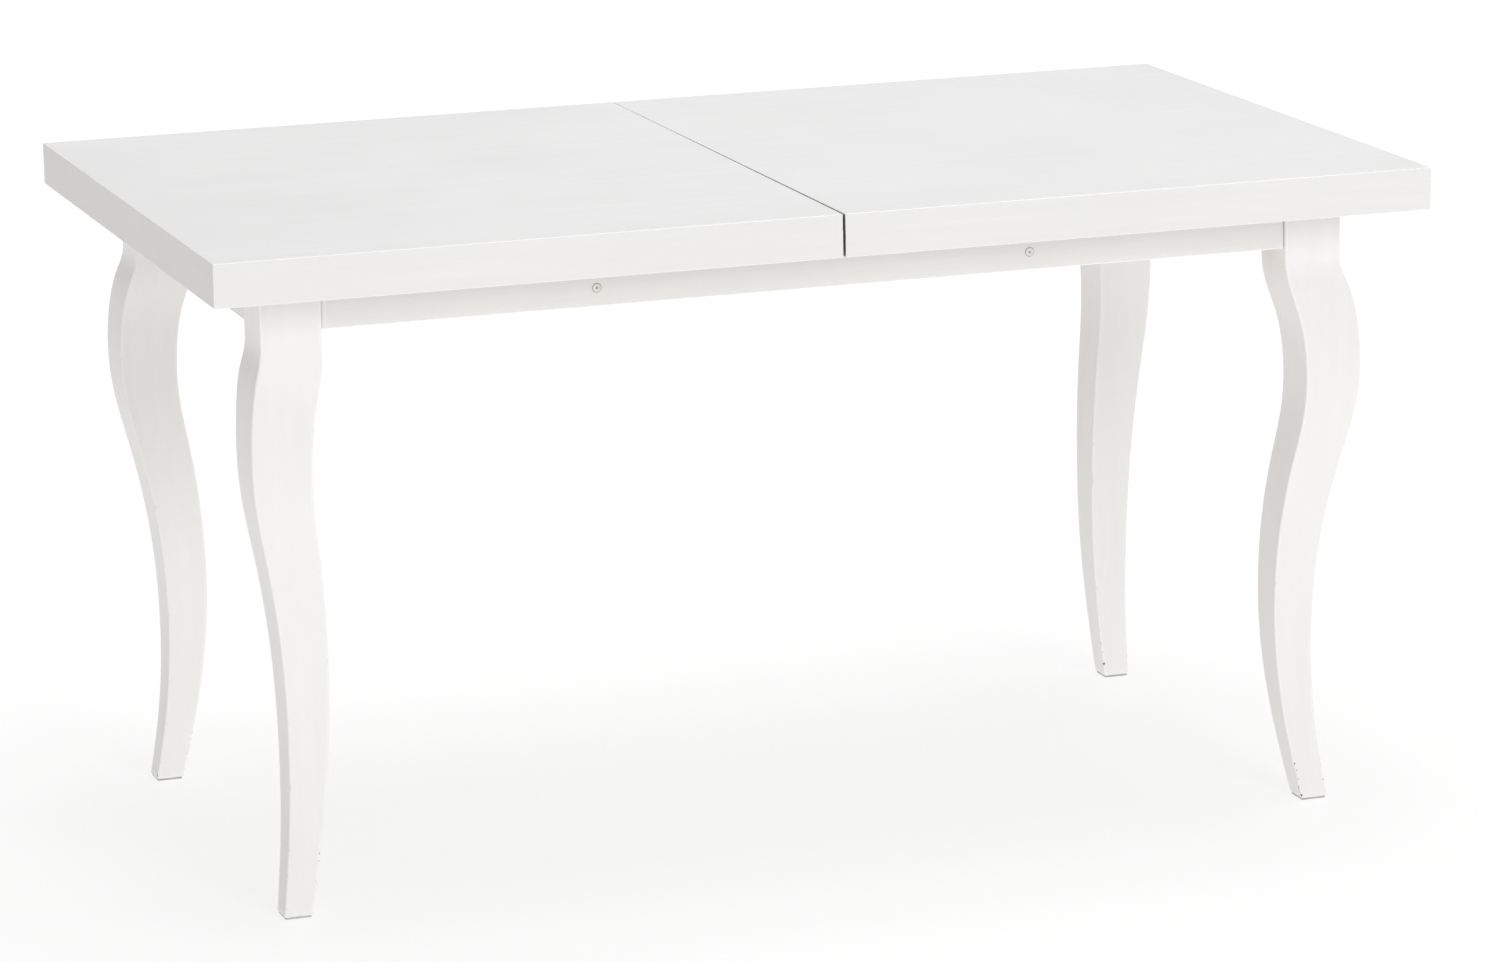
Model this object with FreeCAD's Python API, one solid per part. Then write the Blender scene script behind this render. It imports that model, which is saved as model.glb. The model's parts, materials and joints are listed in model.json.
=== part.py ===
"""Extendable dining table on four cabriole legs.

Frame: millimetres, +Z up, +X along the table's length, -Y towards the front.
The origin is on the floor, under the middle of the table.

A fixed under-frame (legs, aprons, corner blocks, cross rails) carries two half
tops, which slide apart along X on ball-bearing runners.  The loose extension
leaf lies turned lengthwise in the well between the long aprons.
"""
import FreeCAD, Part
import math
import os

V = FreeCAD.Vector

# ---- overall sizes ---------------------------------------------------------
TABLE_LENGTH = 1400.0      # closed, along X
TABLE_WIDTH = 800.0        # along Y
TABLE_HEIGHT = 750.0
EXTENSION = 200.0          # travel of each half top
SPLIT_GAP = 3.0            # left between the closed halves
LEAF_GAP = 1.5             # left on each side of the inserted leaf

# ---- tops ------------------------------------------------------------------
BOARD_THICKNESS = 18.0     # top board
EDGE_DEPTH = 48.0          # board and edge strip together, as seen from the side
EDGE_STRIP_WIDTH = 40.0
EDGE_ROUNDING = 1.0        # eased arris of the lacquered edges
TOP_CLEARANCE = 1.5        # under-frame to the underside of the boards

# ---- legs ------------------------------------------------------------------
OVERHANG_END = 70.0        # edge of the top to the leg's outer face, along X
OVERHANG_SIDE = 86.0       # the same along Y
LEG_BLOCK = 68.0           # square block at the head of the leg
BLOCK_BELOW_APRON = 15.0   # straight length of the block under the apron
LEG_ARRIS = 2.5
LEG_SECTIONS = 30          # sections that the curved length is lofted through
GLIDE_THICKNESS = 2.5
GLIDE_MARGIN = 1.5         # glide edge inside the foot's edge
# Cabriole curve of both outer and both inner faces: the height as a share of the
# curved length, then how far the outer and inner faces stand out from the block's
# outer face (negative is towards the table's middle).
LEG_CURVE = [
    (0.000, -7.0, -39.4),
    (0.125, -17.0, -54.3),
    (0.290, -21.7, -67.0),
    (0.470, -15.4, -67.9),
    (0.620, 0.3, -59.0),
    (0.735, 15.0, -49.4),
    (0.820, 18.3, -49.3),
    (0.895, 15.0, -55.6),
    (0.955, 7.0, -65.2),
    (1.000, 0.0, -LEG_BLOCK),
]

# ---- under-frame -----------------------------------------------------------
APRON_BELOW_TOP = 50.0     # visible height of the aprons under the edge strips
APRON_THICKNESS = 20.0
APRON_RECESS = 5.0         # apron face behind the leg's block
APRON_EASING = 1.5         # rounded lower outer edge
CORNER_BLOCK_REACH = 62.0  # along each apron, from the leg's inner face
CORNER_BLOCK_MARGIN = 3.0  # block inside the apron's top and bottom edges
RAIL_SPACING = 505.0       # between the middles of the two cross rails
RAIL_WIDTH = 40.0
RAIL_HEIGHT = 30.0
RAIL_UNDER_RUNNER = 5.5    # top of the rails to the runners above them
PAD_THICKNESS = 2.0
PAD_SIDE = 30.0
PAD_SPACING = 300.0
TOP_GLIDE_DIAMETER = 16.0
TOP_GLIDE_CLEARANCE = 0.3
TOP_GLIDE_AT_END = 150.0   # from the middle, on the end aprons
TOP_GLIDE_FROM_LEG = 22.0  # from the leg, on the long aprons

# ---- runners (section seen along X: depth from the apron, height from the middle)
RUNNER_FROM_MIDDLE = 15.0  # inner end of the channel to the table's middle
RUNNER_FROM_BLOCK = 35.0   # outer end of the channel to the corner block
RUNNER_UNDER_BOARD = 3.0
CHANNEL_HEIGHT = 36.0
CHANNEL_DEPTH = 12.0
SHEET = 1.5                # steel sheet of channel and slide bar
BAR_FROM_BLOCK = 4.5       # slide bar to the corner block, fully out
BAR_DEPTH = 12.5           # far face of the slide bar, where the batten bears
BAR_OPEN_DEPTH = 3.5       # near edge of the slide bar's flanges
BALL_DIAMETER = 5.0
BALL_PLAY = 0.25           # between a ball and each race
BALL_DEPTH = 7.5
BALL_PITCH = 20.0
CAGE_SHEET = 0.8
CAGE_DEPTH = 2.0
CAGE_REACH = 10.5
CAGE_POCKET_PLAY = 0.1
CAGE_FROM_BAR_END = 10.0   # outer end of the cage to the outer end of the bar
BATTEN_THICKNESS = 18.0
BATTEN_ABOVE_EDGE = 1.0    # batten's lower edge over the channel's
BAR_STOP_GAP = 0.5         # slide bar to the channel's end stop, closed

# ---- fasteners -------------------------------------------------------------
SCREW_DIAMETER = 4.0
SCREW_HEAD = 7.0
SCREW_HEAD_HEIGHT = 2.2
SHORT_SCREW = 14.0
BATTEN_SCREW_IN_BOARD = 14.0
BATTEN_COUNTERBORE = 8.0   # depth of the screw heads in the battens
BATTEN_COUNTERBORE_DIAMETER = 11.0
HANGER_DIAMETER = 8.0
HANGER_IN_LEG = 32.0
HANGER_STICKS_OUT = 12.0
HANGER_SPACING = 30.0
WASHER_DIAMETER = 22.0
WASHER_THICKNESS = 1.8
NUT_ACROSS_FLATS = 13.0
NUT_HEIGHT = 6.5
BOLT_DIAMETER = 6.0
BOLT_HEAD = 8.6
BOLT_HEAD_HEIGHT = 3.5
BOLT_SUNK = 5.0            # counterbore in the apron
BOLT_IN_RAIL = 45.0
CAP_DIAMETER = 10.5
CAP_PROUD = 0.8
CAP_PLUG = 1.2

# ---- alignment pins --------------------------------------------------------
PIN_DIAMETER = 8.0
PIN_IN_BOARD = 20.0
PIN_STICKS_OUT = 12.0
PIN_SOCKET_PLAY = 0.4
PIN_SPACING = 300.0

# ---- catches that hold the halves closed -----------------------------------
CATCH_FROM_MIDDLE = 230.0  # along Y
CATCH_PIVOT_BACK = 30.0    # pivot to the split
CATCH_ARM = 60.0           # pivot to keeper stud
CATCH_OPEN_ANGLE = 80.0    # arm to the closed position
CATCH_PLATE = 2.0
CATCH_PLATE_LENGTH = 44.0
CATCH_PLATE_WIDTH = 34.0
KEEPER_PLATE_LENGTH = 34.0
CATCH_PIN_DIAMETER = 6.0
CATCH_PIN_PLAY = 0.05
CATCH_ARM_THICKNESS = 3.0
CATCH_ARM_WIDTH = 20.0
CATCH_HEADROOM = 1.5       # arm to the base plate
CATCH_HEAD_GAP = 0.3       # arm to the pin's head
CATCH_HEAD_THICKNESS = 2.5
CATCH_HEAD_DIAMETER = 12.0
STUD_DIAMETER = 7.0
STUD_SLOT_PLAY = 1.0
CATCH_TAB_DEPTH = 9.0

# ---- places worked out from the sizes above --------------------------------
BOARD_UNDERSIDE = TABLE_HEIGHT - BOARD_THICKNESS
EDGE_BOTTOM = TABLE_HEIGHT - EDGE_DEPTH
FRAME_TOP = BOARD_UNDERSIDE - TOP_CLEARANCE
APRON_BOTTOM = EDGE_BOTTOM - APRON_BELOW_TOP
BLOCK_BOTTOM = APRON_BOTTOM - BLOCK_BELOW_APRON
LEG_X = TABLE_LENGTH / 2 - OVERHANG_END        # outer face of the block
LEG_Y = TABLE_WIDTH / 2 - OVERHANG_SIDE
LEG_INNER_X = LEG_X - LEG_BLOCK
LEG_INNER_Y = LEG_Y - LEG_BLOCK
APRON_X = LEG_X - APRON_RECESS                 # outer face of the end apron
APRON_Y = LEG_Y - APRON_RECESS                 # outer face of the long apron
WELL_X = APRON_X - APRON_THICKNESS             # inner face of the end apron
WELL_Y = APRON_Y - APRON_THICKNESS             # inner face of the long apron
BLOCK_END_X = LEG_INNER_X - CORNER_BLOCK_REACH # corner block's end on the long apron
BLOCK_END_Y = WELL_Y - (WELL_X - BLOCK_END_X)  # its end on the end apron
RUNNER_Z = BOARD_UNDERSIDE - RUNNER_UNDER_BOARD - CHANNEL_HEIGHT / 2
RUNNER_BOTTOM = RUNNER_Z - CHANNEL_HEIGHT / 2
RUNNER_OUTER_END = BLOCK_END_X - RUNNER_FROM_BLOCK
BAR_HALF_HEIGHT = CHANNEL_HEIGHT / 2 - SHEET - BALL_DIAMETER - 2 * BALL_PLAY
BAR_INNER_END = RUNNER_FROM_MIDDLE + BAR_STOP_GAP
BAR_OUTER_END = BLOCK_END_X - BAR_FROM_BLOCK - EXTENSION
BAR_LENGTH = BAR_OUTER_END - BAR_INNER_END
BALL_HEIGHT = BAR_HALF_HEIGHT + BALL_PLAY + BALL_DIAMETER / 2
CAGE_OUTER_END = BAR_OUTER_END - CAGE_FROM_BAR_END
# The cage rolls half as far as the bar and stays between both members throughout.
BALLS_PER_ROW = int((CAGE_OUTER_END - BAR_INNER_END - EXTENSION / 2) // BALL_PITCH)
BATTEN_BOTTOM = RUNNER_BOTTOM + BATTEN_ABOVE_EDGE
RAIL_X = RAIL_SPACING / 2
RAIL_TOP = RUNNER_BOTTOM - RAIL_UNDER_RUNNER
RAIL_BOTTOM = RAIL_TOP - RAIL_HEIGHT
RAIL_BOLT_Z = RAIL_BOTTOM + RAIL_HEIGHT / 2
LEAF_WIDTH = 2 * EXTENSION + SPLIT_GAP - 2 * LEAF_GAP
LEAF_BOTTOM = RAIL_TOP + PAD_THICKNESS         # underside of the stored leaf's board
SPLIT_EDGE = SPLIT_GAP / 2
PIN_Z = TABLE_HEIGHT - BOARD_THICKNESS / 2
CATCH_PLATE_Z = BOARD_UNDERSIDE - CATCH_PLATE
CATCH_ARM_TOP = CATCH_PLATE_Z - CATCH_HEADROOM
CATCH_ARM_BOTTOM = CATCH_ARM_TOP - CATCH_ARM_THICKNESS
CATCH_HEAD_TOP = CATCH_ARM_BOTTOM - CATCH_HEAD_GAP
KEEPER_X = CATCH_ARM - CATCH_PIVOT_BACK

ACROSS_X = V(1, 0, 0)
ACROSS_Y = V(0, 1, 0)
UP = V(0, 0, 1)


# ---- general shapes --------------------------------------------------------
def block(x, y, z):
    """Box between the two values of each of x, y and z, in any order."""
    low = V(min(x), min(y), min(z))
    return Part.makeBox(abs(x[1] - x[0]), abs(y[1] - y[0]), abs(z[1] - z[0]), low)


def rod(diameter, length, start, direction):
    return Part.makeCylinder(diameter / 2, length, start, direction)


def prism(points, direction):
    """Solid swept along direction from the polygon through points."""
    wire = Part.makePolygon(points + [points[0]])
    return Part.Face(wire).extrude(direction)


def flip_x(shape):
    return shape.mirror(V(0, 0, 0), ACROSS_X)


def flip_y(shape):
    return shape.mirror(V(0, 0, 0), ACROSS_Y)


def four_corners(shape):
    """The front-left shape and its mirrored copies at the other three corners."""
    front = [shape, flip_x(shape)]
    return front + [flip_y(one) for one in front]


def screw(head, direction, length):
    """Pan-head screw: head is the point where the head bears on the work."""
    shank = rod(SCREW_DIAMETER, length, head, direction)
    cap = rod(SCREW_HEAD, SCREW_HEAD_HEIGHT, head - direction * SCREW_HEAD_HEIGHT, direction)
    return cap.fuse(shank).removeSplitter()


def sunk_screw(head, direction, length):
    """Countersunk screw: head is the middle of its flush face."""
    cone = Part.makeCone(SCREW_HEAD / 2, SCREW_DIAMETER / 2, SHEET, head, direction)
    shank = rod(SCREW_DIAMETER, length - SHEET, head + direction * SHEET, direction)
    return cone.fuse(shank).removeSplitter()


def drill(shape, tools):
    """Cuts the seats of all tools, which stay separate pieces, out of shape."""
    return shape.cut(Part.makeCompound(tools)) if tools else shape


def outer_edges(shape, test):
    """Edges of shape whose middle point passes test."""
    found = []
    for edge in shape.Edges:
        middle = edge.valueAt((edge.FirstParameter + edge.LastParameter) / 2)
        if test(middle):
            found.append(edge)
    return found


def near(a, b):
    return abs(a - b) < 1e-4


# ---- legs ------------------------------------------------------------------
def rounded_section(outer, inner, z):
    """Square section of the front-left leg with rounded arrises, as a closed wire."""
    low = V(-(LEG_X + outer), -(LEG_Y + outer), z)
    side = outer - inner
    r = LEG_ARRIS
    square = [(0, 0), (side, 0), (side, side), (0, side)]
    edges = []
    for (x0, y0), (x1, y1) in zip(square, square[1:] + square[:1]):
        along = V((x1 - x0) / side, (y1 - y0) / side, 0)
        inward = V(-along.y, along.x, 0)
        start, end = low + V(x0, y0, 0) + along * r, low + V(x1, y1, 0) - along * r
        middle = end + inward * r + (along - inward) * (r / math.sqrt(2))
        edges += [Part.makeLine(start, end), Part.Arc(end, middle, end + (along + inward) * r).toShape()]
    return Part.Wire(edges)


def leg_corner_line():
    """Unit vector along the diagonal from the well's corner out to the leg."""
    return V(-1, -1, 0) * (1 / math.sqrt(2))


def hanger_points():
    """Where the two hanger bolts leave the diagonal face of the corner block."""
    middle = (V(-BLOCK_END_X, -WELL_Y, 0) + V(-WELL_X, -BLOCK_END_Y, 0)) * 0.5
    z = (APRON_BOTTOM + FRAME_TOP) / 2
    return [middle + V(0, 0, z + side * HANGER_SPACING / 2) for side in (-1, 1)]


def hanger_bolts():
    out = leg_corner_line()
    length = HANGER_IN_LEG + diagonal_gap() + HANGER_STICKS_OUT
    return [rod(HANGER_DIAMETER, length, point - out * HANGER_STICKS_OUT, out)
            for point in hanger_points()]


def diagonal_gap():
    """From the corner block's diagonal face to the leg's inner corner."""
    corner = V(-LEG_INNER_X, -LEG_INNER_Y, 0)
    point = hanger_points()[0]
    return (corner - V(point.x, point.y, 0)).dot(leg_corner_line())


def curve_of(offsets):
    """Smooth curve through the offsets, whose parameter is the share of the curved length."""
    shares = [station[0] for station in LEG_CURVE]
    points = [V(offset, 0, share) for offset, share in zip(offsets, shares)]
    curve = Part.BSplineCurve()
    curve.interpolate(Points=points, Parameters=shares, FinalTangent=V(0, 0, 1))
    return curve


def leg():
    """Cabriole curve lofted through its sections, under the straight block."""
    outer = curve_of([station[1] for station in LEG_CURVE])
    inner = curve_of([station[2] for station in LEG_CURVE])
    sections = []
    for k in range(LEG_SECTIONS + 1):
        share = k / LEG_SECTIONS
        z = GLIDE_THICKNESS + share * (BLOCK_BOTTOM - GLIDE_THICKNESS)
        sections.append(rounded_section(outer.value(share).x, inner.value(share).x, z))
    curved = Part.makeLoft(sections, True)
    head = Part.Face(sections[-1]).extrude(V(0, 0, FRAME_TOP - BLOCK_BOTTOM))
    return drill(curved.fuse(head), hanger_bolts())


def foot_glide():
    inset = GLIDE_MARGIN
    outer = LEG_CURVE[0][1] - inset
    inner = LEG_CURVE[0][2] + inset
    shape = block((-(LEG_X + outer), -(LEG_X + inner)), (-(LEG_Y + outer), -(LEG_Y + inner)),
                  (0, GLIDE_THICKNESS))
    return shape.makeFillet(inset, outer_edges(shape, lambda p: near(p.z, GLIDE_THICKNESS / 2)))


# ---- under-frame -----------------------------------------------------------
def rail_bolt():
    """Bolt at the front end of the left cross rail, head sunk in the apron."""
    head = V(-RAIL_X, -APRON_Y + BOLT_SUNK - BOLT_HEAD_HEIGHT, RAIL_BOLT_Z)
    length = APRON_THICKNESS - BOLT_SUNK + BOLT_IN_RAIL
    shank = rod(BOLT_DIAMETER, length, head + V(0, BOLT_HEAD_HEIGHT, 0), ACROSS_Y)
    return rod(BOLT_HEAD, BOLT_HEAD_HEIGHT, head, ACROSS_Y).fuse(shank).removeSplitter()


def cover_cap():
    face = V(-RAIL_X, -APRON_Y, RAIL_BOLT_Z)
    disc = rod(CAP_DIAMETER, CAP_PROUD, face - V(0, CAP_PROUD, 0), ACROSS_Y)
    plug = rod(BOLT_HEAD, CAP_PLUG, face, ACROSS_Y)
    cap = disc.fuse(plug).removeSplitter()
    rim = outer_edges(cap, lambda p: near(p.y, -APRON_Y - CAP_PROUD))
    return cap.makeFillet(CAP_PROUD / 2, rim)


def channel_screw_places():
    """Places along X of the screws in one left-hand runner channel."""
    length = RUNNER_OUTER_END - RUNNER_FROM_MIDDLE
    return [-(RUNNER_FROM_MIDDLE + share * length) for share in (0.1, 0.5, 0.9)]


def channel_screws():
    return [sunk_screw(V(x, -WELL_Y + SHEET, RUNNER_Z), V(0, -1, 0), SHORT_SCREW + SHEET)
            for x in channel_screw_places()]


def corner_block():
    """Wooden block notched round the leg and glued to both aprons."""
    points = [V(-BLOCK_END_X, -WELL_Y, 0),
              V(-LEG_INNER_X, -WELL_Y, 0),
              V(-LEG_INNER_X, -LEG_INNER_Y, 0),
              V(-WELL_X, -LEG_INNER_Y, 0),
              V(-WELL_X, -BLOCK_END_Y, 0)]
    low = APRON_BOTTOM + CORNER_BLOCK_MARGIN
    shape = prism([p + V(0, 0, low) for p in points],
                  V(0, 0, FRAME_TOP - CORNER_BLOCK_MARGIN - low))
    return drill(shape, hanger_bolts())


def hanger_washers():
    inward = leg_corner_line() * -1
    return [rod(WASHER_DIAMETER, WASHER_THICKNESS, point, inward)
            .cut(rod(HANGER_DIAMETER, WASHER_THICKNESS, point, inward))
            for point in hanger_points()]


def hanger_nuts():
    inward = leg_corner_line() * -1
    sideways = V(1, -1, 0) * (1 / math.sqrt(2))
    radius = NUT_ACROSS_FLATS / math.sqrt(3)
    nuts = []
    for point in hanger_points():
        seat = point + inward * WASHER_THICKNESS
        corners = [seat + sideways * (radius * math.cos(math.pi * k / 3))
                   + UP * (radius * math.sin(math.pi * k / 3)) for k in range(6)]
        bore = rod(HANGER_DIAMETER, NUT_HEIGHT, seat, inward)
        nuts.append(prism(corners, inward * NUT_HEIGHT).cut(bore))
    return nuts


def long_apron():
    """Front apron, between the two front legs."""
    shape = block((-LEG_INNER_X, LEG_INNER_X), (-APRON_Y, -WELL_Y), (APRON_BOTTOM, FRAME_TOP))
    edge = outer_edges(shape, lambda p: near(p.y, -APRON_Y) and near(p.z, APRON_BOTTOM))
    shape = shape.makeFillet(APRON_EASING, edge)
    seats = []
    sunk = BOLT_SUNK - BOLT_HEAD_HEIGHT
    for side in (-1, 1):
        mouth = V(side * RAIL_X, -APRON_Y, RAIL_BOLT_Z)
        seats += [rod(BOLT_HEAD, BOLT_SUNK, mouth, ACROSS_Y),
                  rod(BOLT_DIAMETER, APRON_THICKNESS, mouth + V(0, sunk, 0), ACROSS_Y)]
    screws = channel_screws()
    return drill(shape, seats + screws + [flip_x(one) for one in screws])


def end_apron():
    """Left apron, between the front and back legs."""
    shape = block((-APRON_X, -WELL_X), (-LEG_INNER_Y, LEG_INNER_Y), (APRON_BOTTOM, FRAME_TOP))
    edge = outer_edges(shape, lambda p: near(p.x, -APRON_X) and near(p.z, APRON_BOTTOM))
    return shape.makeFillet(APRON_EASING, edge)


def cross_rail():
    """Left cross rail, butted between the long aprons."""
    shape = block((-RAIL_X - RAIL_WIDTH / 2, -RAIL_X + RAIL_WIDTH / 2), (-WELL_Y, WELL_Y),
                  (RAIL_BOTTOM, RAIL_TOP))
    return drill(shape, [rail_bolt(), flip_y(rail_bolt())])


def rest_pad():
    """Felt pad on the left cross rail, under the stored leaf."""
    half = PAD_SIDE / 2
    return block((-RAIL_X - half, -RAIL_X + half),
                 (-PAD_SPACING / 2 - half, -PAD_SPACING / 2 + half), (RAIL_TOP, LEAF_BOTTOM))


def top_glides():
    """Nylon buttons on the aprons' top edges, which the boards slide over."""
    height = TOP_CLEARANCE - TOP_GLIDE_CLEARANCE
    places = [V(-(APRON_X - APRON_THICKNESS / 2), -TOP_GLIDE_AT_END, FRAME_TOP),
              V(TOP_GLIDE_FROM_LEG - LEG_INNER_X, -(APRON_Y - APRON_THICKNESS / 2), FRAME_TOP)]
    return [rod(TOP_GLIDE_DIAMETER, height, place, UP) for place in places]


# ---- runners ---------------------------------------------------------------
def runner_section(depths, heights, x):
    """Box in a front-left runner: depth from the apron, height from its middle."""
    return block((-x[0], -x[1]), (-WELL_Y + depths[0], -WELL_Y + depths[1]),
                 (RUNNER_Z + heights[0], RUNNER_Z + heights[1]))


def runner_channel():
    """C-shaped channel on the apron, with an end stop near the table's middle."""
    half = CHANNEL_HEIGHT / 2
    x = (RUNNER_FROM_MIDDLE, RUNNER_OUTER_END)
    shape = runner_section((0, CHANNEL_DEPTH), (-half, half), x)
    inside = runner_section((SHEET, CHANNEL_DEPTH), (-half + SHEET, half - SHEET), x)
    stop = runner_section((0, CHANNEL_DEPTH), (-half, half), (x[0] - SHEET, x[0]))
    return drill(shape.cut(inside).fuse(stop).removeSplitter(), channel_screws())


def bar_screws():
    places = [BAR_INNER_END + BAR_LENGTH * share for share in (0.1, 0.5, 0.9)]
    return [screw(V(-x, -WELL_Y + BAR_DEPTH - SHEET, RUNNER_Z), ACROSS_Y, SHORT_SCREW)
            for x in places]


def slide_bar():
    """Inner C-shaped member, which runs in the channel between two rows of balls."""
    half = BAR_HALF_HEIGHT
    x = (BAR_INNER_END, BAR_OUTER_END)
    shape = runner_section((BAR_OPEN_DEPTH, BAR_DEPTH), (-half, half), x)
    inside = runner_section((BAR_OPEN_DEPTH, BAR_DEPTH - SHEET), (-half + SHEET, half - SHEET), x)
    return drill(shape.cut(inside), bar_screws())


def ball_places():
    first = CAGE_OUTER_END - BALL_PITCH / 2
    return [V(-(first - k * BALL_PITCH), -WELL_Y + BALL_DEPTH, RUNNER_Z + side * BALL_HEIGHT)
            for side in (-1, 1) for k in range(BALLS_PER_ROW)]


def bearing_balls():
    return [Part.makeSphere(BALL_DIAMETER / 2, place) for place in ball_places()]


def ball_cage():
    """Thin C-shaped retainer; each ball sits in a round pocket in its flanges."""
    x = (CAGE_OUTER_END - BALLS_PER_ROW * BALL_PITCH, CAGE_OUTER_END)
    half = BALL_HEIGHT + CAGE_SHEET / 2
    shape = runner_section((CAGE_DEPTH, CAGE_REACH), (-half, half), x)
    inside = runner_section((CAGE_DEPTH + CAGE_SHEET, CAGE_REACH),
                            (-half + CAGE_SHEET, half - CAGE_SHEET), x)
    pockets = [rod(BALL_DIAMETER + 2 * CAGE_POCKET_PLAY, 2 * CAGE_SHEET,
                   place - V(0, 0, CAGE_SHEET), UP) for place in ball_places()]
    return drill(shape.cut(inside), pockets)


def batten_screws():
    places = [BAR_INNER_END + BAR_LENGTH * share for share in (0.25, 0.75)]
    y = -WELL_Y + BAR_DEPTH + BATTEN_THICKNESS / 2
    z = BATTEN_BOTTOM + BATTEN_COUNTERBORE
    return [screw(V(-x, y, z), UP, BOARD_UNDERSIDE + BATTEN_SCREW_IN_BOARD - z) for x in places]


def slide_batten():
    """Wooden batten under the board, screwed to the slide bar."""
    shape = block((-BAR_INNER_END, -BAR_OUTER_END),
                  (-WELL_Y + BAR_DEPTH, -WELL_Y + BAR_DEPTH + BATTEN_THICKNESS),
                  (BATTEN_BOTTOM, BOARD_UNDERSIDE))
    bores = []
    for one in batten_screws():
        box = one.BoundBox
        foot = V(box.Center.x, box.Center.y, BATTEN_BOTTOM)
        bores.append(rod(BATTEN_COUNTERBORE_DIAMETER, BATTEN_COUNTERBORE, foot, UP))
    return drill(shape, bores + batten_screws() + bar_screws())


# ---- tops ------------------------------------------------------------------
def pin_rows():
    return [-PIN_SPACING, 0.0, PIN_SPACING]


def split_pins():
    """Alignment pins standing out of the left half's split edge."""
    return [rod(PIN_DIAMETER, PIN_IN_BOARD + PIN_STICKS_OUT,
                V(-SPLIT_EDGE - PIN_IN_BOARD, y, PIN_Z), ACROSS_X) for y in pin_rows()]


def split_sockets():
    """Holes in the right half's split edge that the pins enter with play."""
    play = 2 * PIN_SOCKET_PLAY
    return [rod(PIN_DIAMETER + play, PIN_STICKS_OUT + play, V(SPLIT_EDGE, y, PIN_Z), ACROSS_X)
            for y in pin_rows()]


def top_board():
    """Left board, with eased upper arrises on its three outer sides."""
    x, y = TABLE_LENGTH / 2, TABLE_WIDTH / 2
    shape = block((-x, -SPLIT_EDGE), (-y, y), (BOARD_UNDERSIDE, TABLE_HEIGHT))
    rims = outer_edges(shape, lambda p: (near(p.x, -x) or near(abs(p.y), y))
                       and not near(p.z, BOARD_UNDERSIDE))
    return shape.makeFillet(EDGE_ROUNDING, rims)


def side_strip(x, y, z):
    """Front edge strip from x[0] to x[1], eased along its lower outer edge."""
    shape = block(x, y, z)
    rim = outer_edges(shape, lambda p: near(p.y, min(y)) and near(p.z, min(z)))
    return shape.makeFillet(EDGE_ROUNDING, rim)


def top_side_strip():
    y = TABLE_WIDTH / 2
    return side_strip((-TABLE_LENGTH / 2, -SPLIT_EDGE), (-y, -y + EDGE_STRIP_WIDTH),
                      (EDGE_BOTTOM, BOARD_UNDERSIDE))


def top_end_strip():
    x, y = TABLE_LENGTH / 2, TABLE_WIDTH / 2 - EDGE_STRIP_WIDTH
    shape = block((-x, -x + EDGE_STRIP_WIDTH), (-y, y), (EDGE_BOTTOM, BOARD_UNDERSIDE))
    rim = outer_edges(shape, lambda p: near(p.x, -x) and near(p.z, EDGE_BOTTOM))
    return shape.makeFillet(EDGE_ROUNDING, rim)


# ---- catches ---------------------------------------------------------------
def catch_screw(x, y):
    """Countersunk screw, flush with the plate so that the arm swings over it."""
    return sunk_screw(V(x, y, CATCH_PLATE_Z), UP, SHORT_SCREW)


def plate_screw_offset():
    return CATCH_PLATE_WIDTH / 2 - SCREW_HEAD


def catch_pivot():
    return V(-CATCH_PIVOT_BACK, -CATCH_FROM_MIDDLE, 0)


def catch_base_screws():
    pivot = catch_pivot()
    return [catch_screw(pivot.x + side * (CATCH_PLATE_LENGTH / 2 - SCREW_HEAD), pivot.y)
            for side in (-1, 1)]


def headed_pin(centre, diameter):
    """Pin hanging from a plate, with a head under the catch arm."""
    shank = rod(diameter, CATCH_PLATE_Z - CATCH_HEAD_TOP, V(centre.x, centre.y, CATCH_HEAD_TOP), UP)
    foot = V(centre.x, centre.y, CATCH_HEAD_TOP - CATCH_HEAD_THICKNESS)
    return shank.fuse(rod(CATCH_HEAD_DIAMETER, CATCH_HEAD_THICKNESS, foot, UP))


def catch_base():
    """Plate under the left board with the pivot pin riveted to it."""
    pivot = catch_pivot()
    plate = block((pivot.x - CATCH_PLATE_LENGTH / 2, pivot.x + CATCH_PLATE_LENGTH / 2),
                  (pivot.y - CATCH_PLATE_WIDTH / 2, pivot.y + CATCH_PLATE_WIDTH / 2),
                  (CATCH_PLATE_Z, BOARD_UNDERSIDE))
    shape = plate.fuse(headed_pin(pivot, CATCH_PIN_DIAMETER)).removeSplitter()
    return drill(shape, catch_base_screws())


def keeper_screws():
    return [catch_screw(KEEPER_X, -CATCH_FROM_MIDDLE + side * plate_screw_offset())
            for side in (-1, 1)]


def catch_keeper():
    """Plate under the right board with the headed stud that the arm hooks."""
    centre = V(KEEPER_X, -CATCH_FROM_MIDDLE, 0)
    half = KEEPER_PLATE_LENGTH / 2
    plate = block((centre.x - half / 2, centre.x + half / 2), (centre.y - half, centre.y + half),
                  (CATCH_PLATE_Z, BOARD_UNDERSIDE))
    shape = plate.fuse(headed_pin(centre, STUD_DIAMETER)).removeSplitter()
    return drill(shape, keeper_screws())


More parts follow.
